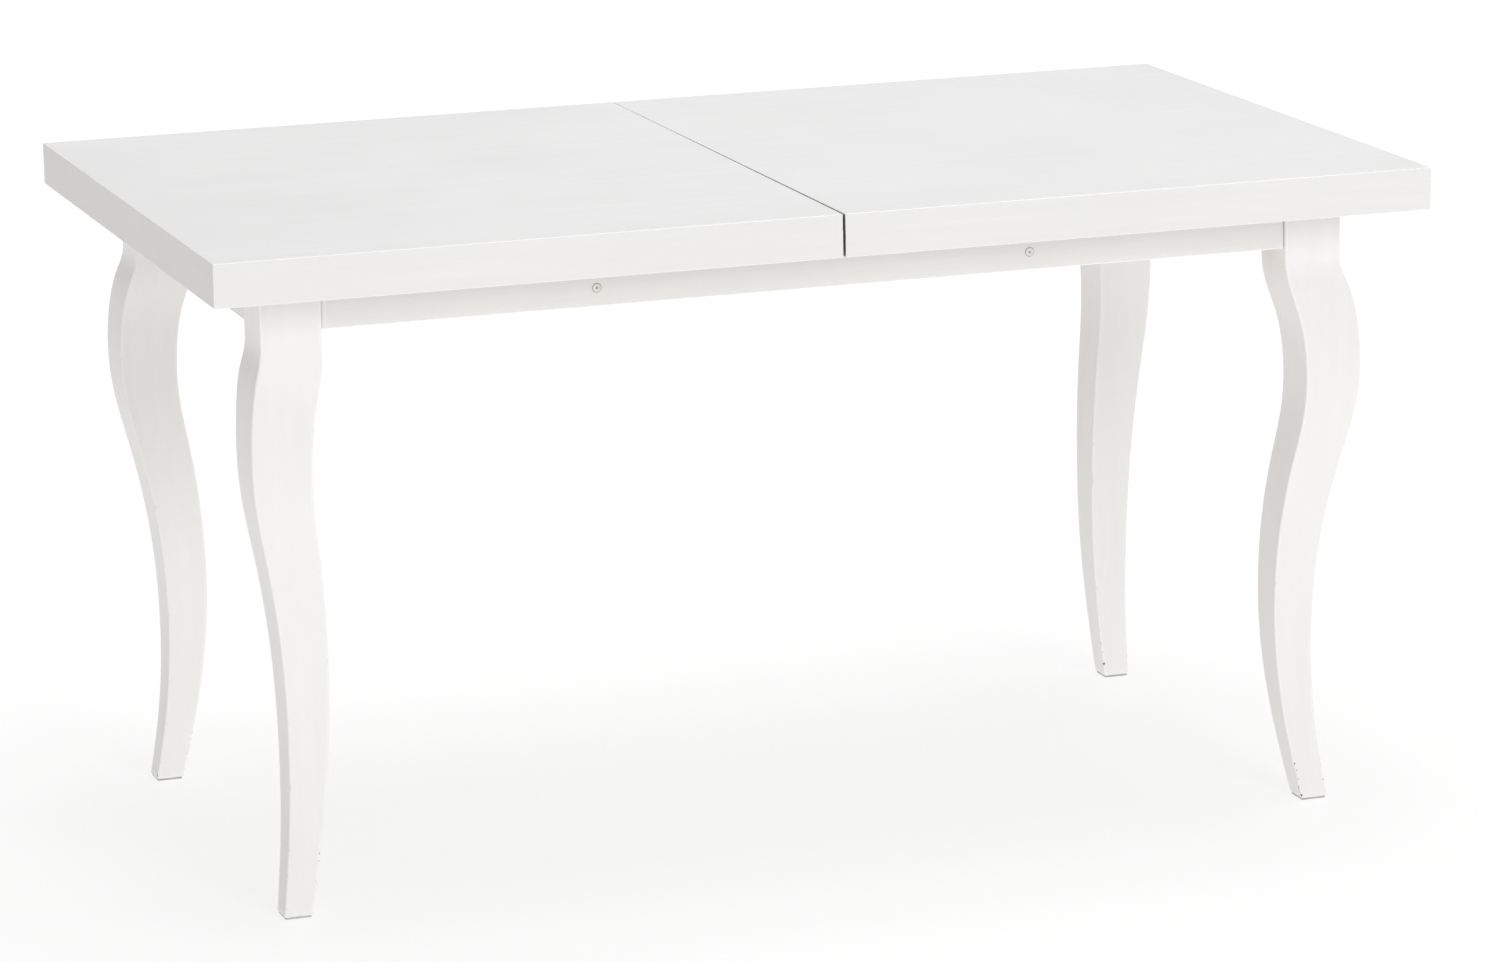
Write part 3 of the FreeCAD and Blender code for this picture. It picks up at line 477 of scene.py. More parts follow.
def eased_block(name, corners, low, high, radius=0.001, easing=(0.001, 0.001),
                sides=(None, None), axes="xyz", steps=4, raw_sides=()):
    """Prism from low to high over a rounded polygon. Its two end faces are eased: over a
    quarter circle of the easing's radius the outline moves in by easing times one minus
    the sine. sides says, for each end, which polygon sides are eased (1) or left sharp (0);
    raw_sides are those that take the second finish."""
    corners = np.asarray(corners, float)
    radii = np.broadcast_to(np.asarray(radius, float), (len(corners),))
    turn = np.linspace(0, math.pi / 2, steps + 1)
    loops, levels = [], []
    for end, (ease, mask) in enumerate(zip(easing, sides)):
        mask = np.ones(len(corners)) if mask is None else np.asarray(mask, float)
        for angle in (turn if end == 0 else turn[::-1]):
            outline, in_corner = eased_outline(corners, ease * (1 - math.sin(angle)) * mask, radii)
            level = ease * (1 - math.cos(angle))
            loops.append(outline)
            levels.append(low + level if end == 0 else high - level)
    loops, levels = np.stack(loops), np.array(levels)
    depth = np.broadcast_to(levels[:, None, None], loops[..., :1].shape)
    rings = np.concatenate([loops, depth], axis=-1)
    order = [axes.index(axis) for axis in "xyz"]
    ring_curved = np.ones(len(rings) - 1, bool)
    ring_curved[steps] = False
    column_curved = in_corner | np.roll(in_corner, -1)
    smooth = ring_curved[:, None] | column_curved[None, :]
    at_end = np.ones(len(rings), bool)
    at_end[[0, steps, steps + 1, len(rings) - 1]] = False
    arris = (at_end[:, None] | in_corner[None, :]).astype(float)
    arris[[0, -1]] = 0
    piece = skin(name, rings[..., order], smooth, arris)
    for side in raw_sides:
        wall = steps * len(in_corner) + side * (ARC_STEPS + 1) + ARC_STEPS
        piece.data.polygons[wall].material_index = 1
    return piece


def rectangle(x, y):
    """Corners of the rectangle between two values of x and of y, anticlockwise; its sides
    are then in the order low y, high x, high y, low x."""
    return [(x[0], y[0]), (x[1], y[0]), (x[1], y[1]), (x[0], y[1])]


def join(name, pieces):
    """One object from several, for like pieces that are one node."""
    merged = bmesh.new()
    for piece in pieces:
        merged.from_mesh(piece.data)
    mesh = bpy.data.meshes.new(name)
    merged.to_mesh(mesh)
    merged.free()
    for piece in pieces:
        bpy.data.objects.remove(piece)
    whole = bpy.data.objects.new(name, mesh)
    bpy.context.scene.collection.objects.link(whole)
    return whole


def moulded_plastic(name, light, dark, roughness):
    """Moulded plastic: faint flow mottling and a fine spark-eroded texture."""
    finish, tree, shader = new_finish(name, Specular_IOR_Level=0.45)
    drift = place_group(tree, tone_drift, Light=light, Dark=dark, Scale=60.0)
    spray = place_group(tree, spray_texture, Peel_Scale=1500.0, Smooth=roughness,
                        Dull=roughness + 0.15)
    tree.links.new(drift.outputs["Color"], shader.inputs["Base Color"])
    tree.links.new(spray.outputs["Roughness"], shader.inputs["Roughness"])
    bump_into(tree, shader, spray.outputs["Height"], 0.4, 0.00003)
    return finish


glide_grey = moulded_plastic("glide_grey", (0.50, 0.49, 0.46, 1), (0.42, 0.41, 0.38, 1),
                             roughness=0.5)
low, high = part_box("foot_glides")
glide_side = LEG_STATIONS[0, 1] - LEG_STATIONS[0, 2] - 2 * GLIDE_MARGIN
glides = []
for sx, sy in LEG_CORNERS.values():
    x = sorted((sx * high.x, sx * (high.x - glide_side)))
    y = sorted((sy * high.y, sy * (high.y - glide_side)))
    glides.append(eased_block("glide", rectangle(x, y), low.z, high.z, GLIDE_CORNER,
                              (GLIDE_EASING, GLIDE_EASING)))
fit(join("glide_pads", glides), glide_grey, "foot_glides")


# ---------------------------------------------------------------------------
# Aprons: fibreboard rails between the legs, lacquered white like them, set a
# little behind the legs' faces. Their lower outer arris and their ends are
# eased. The ends are eased widely or narrowly, which leaves a dark groove or a
# fine shadow line against the legs.
# ---------------------------------------------------------------------------
APRON_EASING = 0.0015
APRON_TOP_EASING = 0.0003
WIDE_END = 0.0070
NARROW_END = 0.0025
# Radius of a corner that is left sharp.
SHARP = 0.0001
# The aprons' white is set a little darker than the legs' as painted shade under the overhanging top.
apron_tones_with_shade = (0.815, 0.815, 0.803, 1), (0.798, 0.797, 0.784, 1)
apron_wear = {"smooth": 0.34, "dull": 0.44, "wear": 0.66, "chips": 0.75}
long_apron_lacquer = white_lacquer("long_apron_lacquer", *apron_tones_with_shade, GRAIN_ALONG, **apron_wear)
end_apron_lacquer = white_lacquer("end_apron_lacquer", *apron_tones_with_shade, GRAIN_ACROSS, **apron_wear)
for side, outer_corners, outer_side, finish in (
        ("front", (WIDE_END, NARROW_END, 0, 0), (1, 0, 0, 0), long_apron_lacquer),
        ("back", (0, 0, WIDE_END, NARROW_END), (0, 0, 1, 0), long_apron_lacquer),
        ("left", (NARROW_END, 0, 0, NARROW_END), (0, 0, 0, 1), end_apron_lacquer),
        ("right", (0, NARROW_END, NARROW_END, 0), (0, 1, 0, 0), end_apron_lacquer)):
    low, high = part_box("apron_" + side)
    apron = eased_block("lacquered_apron_" + side, rectangle((low.x, high.x), (low.y, high.y)),
                        low.z, high.z, np.array(outer_corners) + SHARP,
                        (APRON_EASING, APRON_TOP_EASING), (outer_side, None))
    fit(apron, finish, "apron_" + side)


# ---------------------------------------------------------------------------
# Cover caps: small white plastic caps pressed over the sunk heads of the bolts
# that hold the cross rails, two on each long apron. Each has a rim, a shallow
# groove inside it and a dimple in the middle. The seam round the rim and the
# dimple take a dark finish as painted shade.
# ---------------------------------------------------------------------------
CAP_RADIUS = 0.00525
# Radius and height as shares of the cap's own, from the apron outwards: the seam, the
# rim, the groove, the face and the dimple.
CAP_SEAM = [(0.92, 0.0), (1.0, 0.04), (1.0, 0.12), (0.88, 0.14)]
CAP_FACE = [(0.88, 0.75), (0.86, 0.94), (0.81, 1.0), (0.75, 0.92), (0.70, 0.40), (0.66, 0.28),
            (0.62, 0.40), (0.55, 0.64), (0.42, 0.78), (0.26, 0.80)]
CAP_DIMPLE = [(0.18, 0.55), (0.08, 0.30), (0.03, 0.25)]
CAP_AROUND = 40


def frame_around(axis):
    """Unit axis and two unit directions square to it."""
    axis = np.array(axis, float) / np.linalg.norm(axis)
    side = np.cross(axis, (0.0, 0.0, 1.0) if abs(axis[2]) < 0.9 else (1.0, 0.0, 0.0))
    side /= np.linalg.norm(side)
    return axis, side, np.cross(axis, side)


def round_the_axis(name, start, axis, radius, height, angle, looped=False):
    """Surface whose points lie at the given radius, height and angle round the axis from
    start; the three are arrays of rings by points, or broadcast to that."""
    axis, side, other = frame_around(axis)
    radius, height, angle = np.broadcast_arrays(radius, height, angle)
    rings = (np.asarray(start, float) + height[..., None] * axis
             + (radius * np.cos(angle))[..., None] * side
             + (radius * np.sin(angle))[..., None] * other)
    rows = len(rings) if looped else len(rings) - 1
    return skin(name, rings, np.ones((rows, rings.shape[1]), bool), np.zeros(rings.shape[:2]), looped)


def turned(name, profile, start, axis, around=32, looped=False):
    """Surface of revolution: the profile's (radius, height) pairs turned about the axis
    from start, closed by a flat face at each end, or into a ring if looped."""
    profile = np.asarray(profile, float)
    angle = np.linspace(0, 2 * math.pi, around, endpoint=False)[None]
    return round_the_axis(name, start, axis, profile[:, :1], profile[:, 1:], angle, looped)


def solids_of(node):
    """Low and high corner of each separate solid of a CAD node. Points in one place count
    as one; every triangle passes on the lowest label of its corners until none changes."""
    mesh = frame["nodes"][node].data
    points = np.empty(len(mesh.vertices) * 3)
    mesh.vertices.foreach_get("co", points)
    corners = np.empty(len(mesh.loops), int)
    mesh.loops.foreach_get("vertex_index", corners)
    places, same = np.unique(np.round(points.reshape(-1, 3), 6), axis=0, return_inverse=True)
    triangles = same.reshape(-1)[corners].reshape(-1, 3)
    label = np.arange(len(places))
    while True:
        before = label.copy()
        np.minimum.at(label, triangles.ravel(), np.repeat(label[triangles].min(axis=1), 3))
        label = label[label]
        if (label == before).all():
            break
    solids = [places[label == one] for one in np.unique(label)]
    return sorted((tuple(solid.min(0)), tuple(solid.max(0))) for solid in solids)


cap_white = moulded_plastic("cap_white", (0.80, 0.80, 0.78, 1), (0.76, 0.76, 0.735, 1),
                            roughness=0.28)
# Dark finish for the seam round the rim and for the dimple: painted shade.
cap_painted_shade = moulded_plastic("cap_painted_shade", (0.36, 0.33, 0.28, 1), (0.28, 0.25, 0.21, 1),
                           roughness=0.6)
apron_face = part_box("apron_front")[0].y
cap_height = apron_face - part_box("cover_caps")[0].y
cap_profile = np.array(CAP_SEAM + CAP_FACE + CAP_DIMPLE) * (CAP_RADIUS, cap_height)
# The seam's rows and the dimple's take the dark finish: painted shade.
shade_rows = np.r_[np.ones(len(CAP_SEAM) - 1), np.zeros(len(CAP_FACE)), np.ones(len(CAP_DIMPLE))]
# One face from each profile point to the next all round, then the two end faces.
shaded_faces = np.r_[np.repeat(shade_rows, CAP_AROUND), 0, 1].astype(int)
caps = []
for low, high in solids_of("cover_caps"):
    side = 1 if low[1] > 0 else -1
    middle = ((low[0] + high[0]) / 2, side * -apron_face, (low[2] + high[2]) / 2)
    cap = turned("cap", cap_profile, middle, (0, side, 0), CAP_AROUND)
    cap.data.polygons.foreach_set("material_index", shaded_faces)
    caps.append(cap)
fit(join("pressed_in_caps", caps), cap_white, "cover_caps", raw=cap_painted_shade)


# ---------------------------------------------------------------------------
# Corner blocks and cross rails: planed beech, sealed with one thin coat. The
# blocks are notched round the legs and glued; the rails tie the long aprons.
# ---------------------------------------------------------------------------
def planed_wood(name, stretch, light, dark, pore, roughness=0.5):
    """Planed and sealed wood: grain and pores along the run, with a slow drift of tone."""
    finish, tree, shader = new_finish(name, Specular_IOR_Level=0.4)
    grain = place_group(tree, wood_grain, Stretch=stretch, Light=light, Dark=dark, Pore=pore)
    drift = place_group(tree, tone_drift, Light=(1, 1, 1, 1), Dark=(0.88, 0.86, 0.83, 1), Scale=9.0)
    tree.links.new(multiply_colours(tree, grain.outputs["Color"], drift.outputs["Color"]),
                   shader.inputs["Base Color"])
    rough = spread(tree, grain.outputs["Pores"], 0.0, 1.0, roughness, roughness + 0.2)
    tree.links.new(rough, shader.inputs["Roughness"])
    bump_into(tree, shader, grain.outputs["Height"], 0.35, 0.00015)
    return finish


BEECH = ((0.60, 0.41, 0.26, 1), (0.53, 0.345, 0.205, 1), (0.40, 0.245, 0.14, 1))
beech_across = planed_wood("beech_across", (90, 6, 90), *BEECH)
beech_along = planed_wood("beech_along", (6, 90, 90), *BEECH)
BLOCK_CORNER = 0.0004
BLOCK_EASING = 0.0012
RAIL_EASING = 0.0018


def corner_block(sx, sy):
    """Pentagon notched to the leg's inner corner: its diagonal face runs from one apron
    to the other. All its sides come from the boxes of the node and of the leg."""
    low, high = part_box("corner_blocks")
    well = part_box("apron_left")[1].x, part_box("apron_front")[1].y
    leg_inner = OVERHANG_END + LEG_HEAD - cad_half[0], OVERHANG_SIDE + LEG_HEAD - cad_half[1]
    plan = np.array([(-block_inner_x, well[1]), (leg_inner[0], well[1]), leg_inner,
                     (well[0], leg_inner[1]), (well[0], well[1] - block_inner_x - well[0])])
    # Anticlockwise seen from above on the front-left corner; mirroring turns it round.
    plan = plan[::-1] if sx * sy > 0 else plan
    plan = plan * (-sx, -sy)
    return eased_block("block", plan, low.z, high.z, BLOCK_CORNER, (BLOCK_EASING, BLOCK_EASING))


block_inner_x = min(abs(value) for low, high in solids_of("corner_blocks")
                    for value in (low[0], high[0]))
blocks = [corner_block(*sides) for sides in LEG_CORNERS.values()]
fit(join("glued_corner_blocks", blocks), beech_along, "corner_blocks")
for side in ("left", "right"):
    low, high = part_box("cross_rail_" + side)
    rail = eased_block("beech_cross_rail_" + side, rectangle((low.z, high.z), (low.x, high.x)),
                       low.y, high.y, RAIL_EASING, (SHARP, SHARP), axes="zxy")
    fit(rail, beech_across, "cross_rail_" + side)


# ---------------------------------------------------------------------------
# Leg and rail fastenings: zinc plated hanger bolts through the corner blocks
# into the legs, with washers and hexagon nuts, and the sunk rail bolts.
# ---------------------------------------------------------------------------
def plated_steel(name, light, dark, smooth, dull, stretch):
    """Plated steel: clouded plating, and fine rolling or brushing lines along one axis."""
    finish, tree, shader = new_finish(name, Metallic=1.0)
    drift = place_group(tree, tone_drift, Light=light, Dark=dark, Scale=45.0, Sharpness=0.6)
    lines = place_group(tree, wood_grain, Stretch=stretch)
    tree.links.new(drift.outputs["Color"], shader.inputs["Base Color"])
    rough = spread(tree, drift.outputs["Mask"], 0.0, 1.0, smooth, dull)
    tree.links.new(rough, shader.inputs["Roughness"])
    bump_into(tree, shader, lines.outputs["Height"], 0.12, 0.00001)
    return finish


zinc = plated_steel("zinc", (0.74, 0.76, 0.78, 1), (0.62, 0.64, 0.66, 1),
                    smooth=0.24, dull=0.38, stretch=(400, 400, 400))
THREAD_PITCH = 0.00125
THREAD_DEPTH = 0.0006
THREADED_END = 0.014
BOLT_TIP = 0.002
BOLT_CHAMFER = 0.001
NUT_FLATS = 0.013
NUT_BORE = 0.0042
NUT_CHAMFER = 0.0009
NUT_CONE = 1.25
WASHER_EASING = 0.0003


def hanger_bolt(low, high, sx, sy):
    """Rod along the diagonal. Near its free end the radius dips by the thread's depth in a
    triangle wave that climbs one pitch for each turn; the tip is chamfered by one pitch."""
    out = np.array([sx, sy, 0.0]) / math.sqrt(2)
    middle = (np.array(low) + high) / 2
    radius = (high[2] - low[2]) / 2
    length = (high[0] - low[0]) * math.sqrt(2) - 2 * radius
    height = np.r_[np.arange(0, THREADED_END, THREAD_PITCH / 6), length - BOLT_TIP, length][:, None]
    angle = np.linspace(0, 2 * math.pi, 20, endpoint=False)[None]
    wave = np.abs(((height / THREAD_PITCH - angle / (2 * math.pi)) % 1) * 2 - 1)
    wave = np.where(height < THREADED_END - THREAD_PITCH, wave, 0)
    ends = np.maximum(0, THREAD_PITCH - height) + np.maximum(0, height - length + BOLT_CHAMFER)
    dip = THREAD_DEPTH * wave + ends
    return round_the_axis("bolt", middle - out * length / 2, out, radius - dip, height, angle)


def hexagon_nut(low, high, sx, sy):
    """Ring with a hexagonal outside: the radius at each angle is that of the flat, but no
    more than a cone's that cuts the corners off towards both faces."""
    out = np.array([sx, sy, 0.0]) / math.sqrt(2)
    middle = (np.array(low) + high) / 2
    inner_flat = NUT_FLATS / 2
    across = inner_flat / math.cos(math.pi / 6) * 2
    thick = (high[0] - low[0]) * math.sqrt(2) - across
    angle = np.linspace(0, 2 * math.pi, 48, endpoint=False)[None]
    flat = inner_flat / np.cos((angle + math.pi / 6) % (math.pi / 3) - math.pi / 6)
    depth = np.array([0, NUT_CHAMFER * 0.5, NUT_CHAMFER])
    height = np.r_[depth, thick - depth[::-1], thick, 0][:, None]
    cone = np.r_[inner_flat + depth * NUT_CONE, inner_flat + depth[::-1] * NUT_CONE][:, None]
    outside = np.minimum(flat, cone)
    bore = np.full((2, angle.shape[1]), NUT_BORE)
    return round_the_axis("nut", middle - out * thick / 2, out, np.r_[outside, bore], height, angle, True)


def plain_washer(low, high, sx, sy):
    """Flat ring turned about the bolt's axis, its outer edges cut off by a small chamfer."""
    out = np.array([sx, sy, 0.0]) / math.sqrt(2)
    middle = (np.array(low) + high) / 2
    radius = (high[2] - low[2]) / 2
    thick = (high[0] - low[0]) * math.sqrt(2) - 2 * radius
    ease = WASHER_EASING
    profile = [(NUT_BORE, 0), (radius - ease, 0), (radius, ease), (radius, thick - ease),
               (radius - ease, thick), (NUT_BORE, thick)]
    return turned("washer", profile, middle - out * thick / 2, out, 40, True)


for node, maker in (("hanger_bolts", hanger_bolt), ("hanger_nuts", hexagon_nut),
                    ("hanger_washers", plain_washer)):
    made = [maker(low, high, math.copysign(1, low[0]), math.copysign(1, low[1]))
            for low, high in solids_of(node)]
    fit(join("leg_" + node, made), zinc, node)

BOLT_SOCKET = 0.0024
BOLT_SOCKET_DEPTH = 0.002
BOLT_HEAD_HEIGHT = 0.0035
BOLT_HEAD_EASING = 0.0006
BOLT_SHANK = 0.003
rail_bolts = []
for low, high in solids_of("rail_bolts"):
    toward = -math.copysign(1, low[1])
    head = (high[2] - low[2]) / 2
    length = high[1] - low[1]
    start = ((low[0] + high[0]) / 2, -toward * max(abs(low[1]), abs(high[1])), (low[2] + high[2]) / 2)
    profile = [(0.0004, BOLT_SOCKET_DEPTH), (BOLT_SOCKET, BOLT_SOCKET_DEPTH), (BOLT_SOCKET, 0),
               (head - BOLT_HEAD_EASING, 0), (head, BOLT_HEAD_EASING),
               (head, BOLT_HEAD_HEIGHT - 0.0002), (head - 0.0002, BOLT_HEAD_HEIGHT),
               (BOLT_SHANK, BOLT_HEAD_HEIGHT), (BOLT_SHANK, length - BOLT_CHAMFER),
               (BOLT_SHANK - BOLT_CHAMFER, length)]
    rail_bolts.append(turned("bolt", profile, start, (0, toward, 0), 24))
fit(join("sunk_rail_bolts", rail_bolts), zinc, "rail_bolts")


# ---------------------------------------------------------------------------
# Pads and top glides: grey felt squares under the stored leaf, and white nylon
# buttons on the aprons' top edges, which carry the sliding boards.
# ---------------------------------------------------------------------------
def pressed_felt(name, light, dark):
    """Pressed felt: short crossed fibres as fine high-contrast noise with a soft sheen."""
    finish, tree, shader = new_finish(name, Specular_IOR_Level=0.2, Sheen_Weight=0.4)
    drift = place_group(tree, tone_drift, Light=light, Dark=dark, Scale=700.0, Sharpness=0.8)
    fibres = place_group(tree, wood_grain, Stretch=(900, 2500, 1500))
    tree.links.new(drift.outputs["Color"], shader.inputs["Base Color"])
    rough = spread(tree, fibres.outputs["Pores"], 0.0, 1.0, 0.85, 1.0)
    tree.links.new(rough, shader.inputs["Roughness"])
    bump_into(tree, shader, fibres.outputs["Height"], 0.9, 0.0003)
    return finish


felt_grey = pressed_felt("felt_grey", (0.16, 0.16, 0.17, 1), (0.10, 0.10, 0.105, 1))
PAD_CORNER = 0.0015
PAD_EASING = (0.0003, 0.0007)
pads = [eased_block("pad", rectangle((low[0], high[0]), (low[1], high[1])), low[2], high[2],
                    PAD_CORNER, PAD_EASING) for low, high in solids_of("leaf_rest_pads")]
fit(join("felt_pads", pads), felt_grey, "leaf_rest_pads")
# Radius and height as shares of the button's own.
BUTTON_PROFILE = np.array([(0.97, 0), (1, 0.2), (0.98, 0.55), (0.90, 0.82), (0.75, 0.96),
                           (0.4, 1), (0.1, 1)])
buttons = []
for low, high in solids_of("top_glides"):
    radius, height = (high[0] - low[0]) / 2, high[2] - low[2]
    middle = ((low[0] + high[0]) / 2, (low[1] + high[1]) / 2, low[2])
    buttons.append(turned("button", BUTTON_PROFILE * (radius, height), middle, (0, 0, 1), 36))
fit(join("nylon_buttons", buttons), cap_white, "top_glides")


# ---------------------------------------------------------------------------
# Runners: four sets of roll-formed steel. A channel is screwed to the apron, a
# slide bar to a batten under the board, and between them balls roll in a thin
# cage, which travels half as far as the bar.
# ---------------------------------------------------------------------------
runner_steel = plated_steel("runner_steel", (0.68, 0.70, 0.72, 1), (0.60, 0.62, 0.64, 1),
                            smooth=0.28, dull=0.36, stretch=(2, 160, 160))
ball_steel = plated_steel("ball_steel", (0.78, 0.79, 0.80, 1), (0.72, 0.73, 0.75, 1),
                          smooth=0.06, dull=0.12, stretch=(500, 500, 500))
RUNNER_SHEET = 0.0015
CAGE_SHEET = 0.0008
ROLLED_BEND = 0.0022
STOP_EASING = 0.0002


def c_section(web, lips, z, sheet):
    """Outline of a folded sheet in the plane of y and z, anticlockwise: a web at one y, and
    flanges from it to the lips at another; with the radius of each of its corners."""
    toward = math.copysign(1, lips - web)
    outline = [(web, z[0]), (lips, z[0]), (lips, z[0] + sheet), (web + toward * sheet, z[0] + sheet),
               (web + toward * sheet, z[1] - sheet), (lips, z[1] - sheet), (lips, z[1]), (web, z[1])]
    lip, bend = sheet * 0.3, ROLLED_BEND * sheet / RUNNER_SHEET
    radii = [bend, lip, lip, bend * 0.45, bend * 0.45, lip, lip, bend]
    if toward < 0:
        outline, radii = outline[::-1], radii[::-1]
    return outline, radii


def rolled_channel(name, low, high, web_outside, sheet, x=None):
    """Folded sheet along x, whose web is on the side away from the table's middle, or
    towards it."""
    outside, inside = sorted((low[1], high[1]), key=abs, reverse=True)
    web, lips = (outside, inside) if web_outside else (inside, outside)
    outline, radii = c_section(web, lips, (low[2], high[2]), sheet)
    x = x or (low[0], high[0])
    return eased_block(name, outline, x[0], x[1], radii, (sheet * 0.15, sheet * 0.15), axes="yzx")


for name, (sx, sy) in LEG_CORNERS.items():
    low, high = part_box("runner_channel_" + name)
    inner = low.x if sx > 0 else high.x
    stop = sorted((inner, inner + sx * RUNNER_SHEET))
    x = (stop[1], high.x) if sx > 0 else (low.x, stop[0])
    channel = rolled_channel("channel", low, high, True, RUNNER_SHEET, x)
    plate = eased_block("stop", rectangle((low.y, high.y), (low.z, high.z)), stop[0], stop[1],
                        ROLLED_BEND, (STOP_EASING, STOP_EASING), axes="yzx")
    fit(join("rolled_channel_" + name, [channel, plate]), runner_steel, "runner_channel_" + name)
for side in ("left", "right"):
    bars = [rolled_channel("bar", low, high, False, RUNNER_SHEET)
            for low, high in solids_of("slide_bars_" + side)]
    fit(join("rolled_bars_" + side, bars), runner_steel, "slide_bars_" + side)
    cages = [rolled_channel("cage", low, high, True, CAGE_SHEET)
             for low, high in solids_of("ball_cages_" + side)]
    fit(join("folded_cages_" + side, cages), runner_steel, "ball_cages_" + side)

BALL_POLE = 0.06
# Stacked circles: radius times sine, height times cosine, of the angle from pole to pole.
polar = np.linspace(BALL_POLE, math.pi - BALL_POLE, 10)
ball_profile = np.stack([np.sin(polar), -np.cos(polar)], axis=-1)
for side in ("left", "right"):
    balls = []
    for low, high in solids_of("bearing_balls_" + side):
        radius = (high[2] - low[2]) / 2
        balls.append(turned("ball", ball_profile * radius, (np.array(low) + high) / 2, (0, 0, 1), 14))
    fit(join("runner_balls_" + side, balls), ball_steel, "bearing_balls_" + side)

SCREW_RADIUS = 0.002
SCREW_TIP = 0.003
PAN_HEAD = 0.0022
RECESS_DEPTH = 0.0012
# Half length and half width of the recess's arms, and the height of a pan head's dome,
# as shares of the head's radius and of its height.
RECESS_ARM, RECESS_WIDTH, PAN_DOME = 0.56, 0.13, 0.35
HEAD_PROUD = 0.00015


def cross_head_screw(low, high, into, countersunk):
    """Screw with a cross recess. The recess outline at each angle is the end of an arm or
    the side of one, whichever is nearer; its rings sit below the head's domed top, then
    circles follow the head, the shank and the tip."""
    into = np.array(into, float)
    run = int(np.argmax(np.abs(into)))
    across = [k for k in range(3) if k != run]
    head = (high[across[0]] - low[across[0]]) / 2
    start = (np.array(low) + high) / 2
    start[run] = low[run] if into[run] > 0 else high[run]
    start -= into * (HEAD_PROUD if countersunk else 0)
    length = high[run] - low[run]
    arm, width = RECESS_ARM * head, RECESS_WIDTH * head
    corner = math.atan(width / arm)
    eighth = np.array([0, corner, math.radians(28), math.radians(45)])
    quarter = np.r_[eighth, math.pi / 2 - eighth[2:0:-1]]
    angle = (quarter[None] + np.arange(4)[:, None] * math.pi / 2).reshape(1, -1)
    c, s = np.abs(np.cos(angle)), np.abs(np.sin(angle))
    recess = np.minimum(arm / np.maximum(c, s), width / np.maximum(np.minimum(c, s), 1e-6))
    seat = RUNNER_SHEET if countersunk else PAN_HEAD
    dome = 0.0 if countersunk else PAN_DOME
    rings = [(0.04 * recess, RECESS_DEPTH), (0.85 * recess, RECESS_DEPTH),
             (recess, dome * seat * 0.35)]
    for share in (0.66, 0.80, 0.92, 1.0):
        rings.append((head * share, dome * seat * share ** 3))
    if countersunk:
        rings += [(head, 0.0002), (SCREW_RADIUS, seat)]
    else:
        rings += [(head, seat * 0.85), (head * 0.96, seat), (SCREW_RADIUS, seat)]
    rings += [(SCREW_RADIUS, length - SCREW_TIP), (0.0003, length)]
    radius = np.concatenate([np.broadcast_to(one, angle.shape) for one, _ in rings])
    height = np.array([one for _, one in rings])[:, None]
    return round_the_axis("screw", start, into, radius, height, angle)


def fit_screws(node, into, countersunk=False):
    """Makes all the screws of a node; into gives a screw's direction from its box."""
    screws = [cross_head_screw(low, high, into(low), countersunk) for low, high in solids_of(node)]
    fit(join("cross_head_" + node, screws), zinc, node)


def outward(low):
    """Away from the table's middle, along Y."""
    return 0, math.copysign(1, low[1]), 0


def inward(low):
    """Towards the table's middle, along Y."""
    return 0, -math.copysign(1, low[1]), 0


def upward(low):
    """Straight up, wherever the screw is."""
    return 0, 0, 1


fit_screws("channel_screws", outward, True)
for side in ("left", "right"):
    fit_screws("bar_screws_" + side, inward)
    fit_screws("batten_screws_" + side, upward)


# ---------------------------------------------------------------------------
# Slide battens: beech, glued and screwed up into the boards, with the screw
# heads sunk in counterbores. The slide bars are screwed to their outer sides.
# ---------------------------------------------------------------------------
BATTEN_EASING = 0.0012
COUNTERBORE = 0.0055
# How far a cutter sticks out of the piece that it cuts.
OVERRUN = 0.003


def bored(piece, holes, finish=0):
    """Cuts the rods in holes out of the piece, with an exact boolean, and removes them.
    finish is the number of the finish inside the holes."""
    cutter = join("cutter", holes)
    cutter.data.polygons.foreach_set("material_index", [finish] * len(cutter.data.polygons))
    cut = piece.modifiers.new("holes", "BOOLEAN")
    cut.operation, cut.solver, cut.object = "DIFFERENCE", "EXACT", cutter
    graph = bpy.context.evaluated_depsgraph_get()
    mesh = bpy.data.meshes.new_from_object(piece.evaluated_get(graph))
    piece.modifiers.clear()
    piece.data = mesh
    bpy.data.objects.remove(cutter)
    return piece


for side in ("left", "right"):
    screws = solids_of("batten_screws_" + side)
    battens = []
    for low, high in solids_of("slide_battens_" + side):
        batten = eased_block("batten", rectangle((low[1], high[1]), (low[2], high[2])), low[0], high[0],
                             [BATTEN_EASING, BATTEN_EASING, SHARP, SHARP],
                             (BATTEN_EASING / 2, BATTEN_EASING / 2), axes="yzx")
        holes = [turned("hole", [(COUNTERBORE, -OVERRUN), (COUNTERBORE, one[2] - low[2])],
                        ((one[0] + two[0]) / 2, (one[1] + two[1]) / 2, low[2]), (0, 0, 1), 32)
                 for one, two in screws if one[1] * low[1] > 0]
        battens.append(bored(batten, holes))
    fit(join("beech_battens_" + side, battens), beech_along, "slide_battens_" + side)


# ---------------------------------------------------------------------------
# Half tops: boards of fibreboard with strips glued under three edges, which
# makes them look thick. Board and strips are sanded flush and sprayed as one,
# so no joint shows between them; all outer arrises are eased by a millimetre.
# The faces at the split have only a thin sealing coat, which is darker.
# ---------------------------------------------------------------------------
TOP_EASING = 0.0010
SPLIT_EASING = 0.0004
# Easing of an edge that is glued or sanded flush.
FLUSH = 0.00005
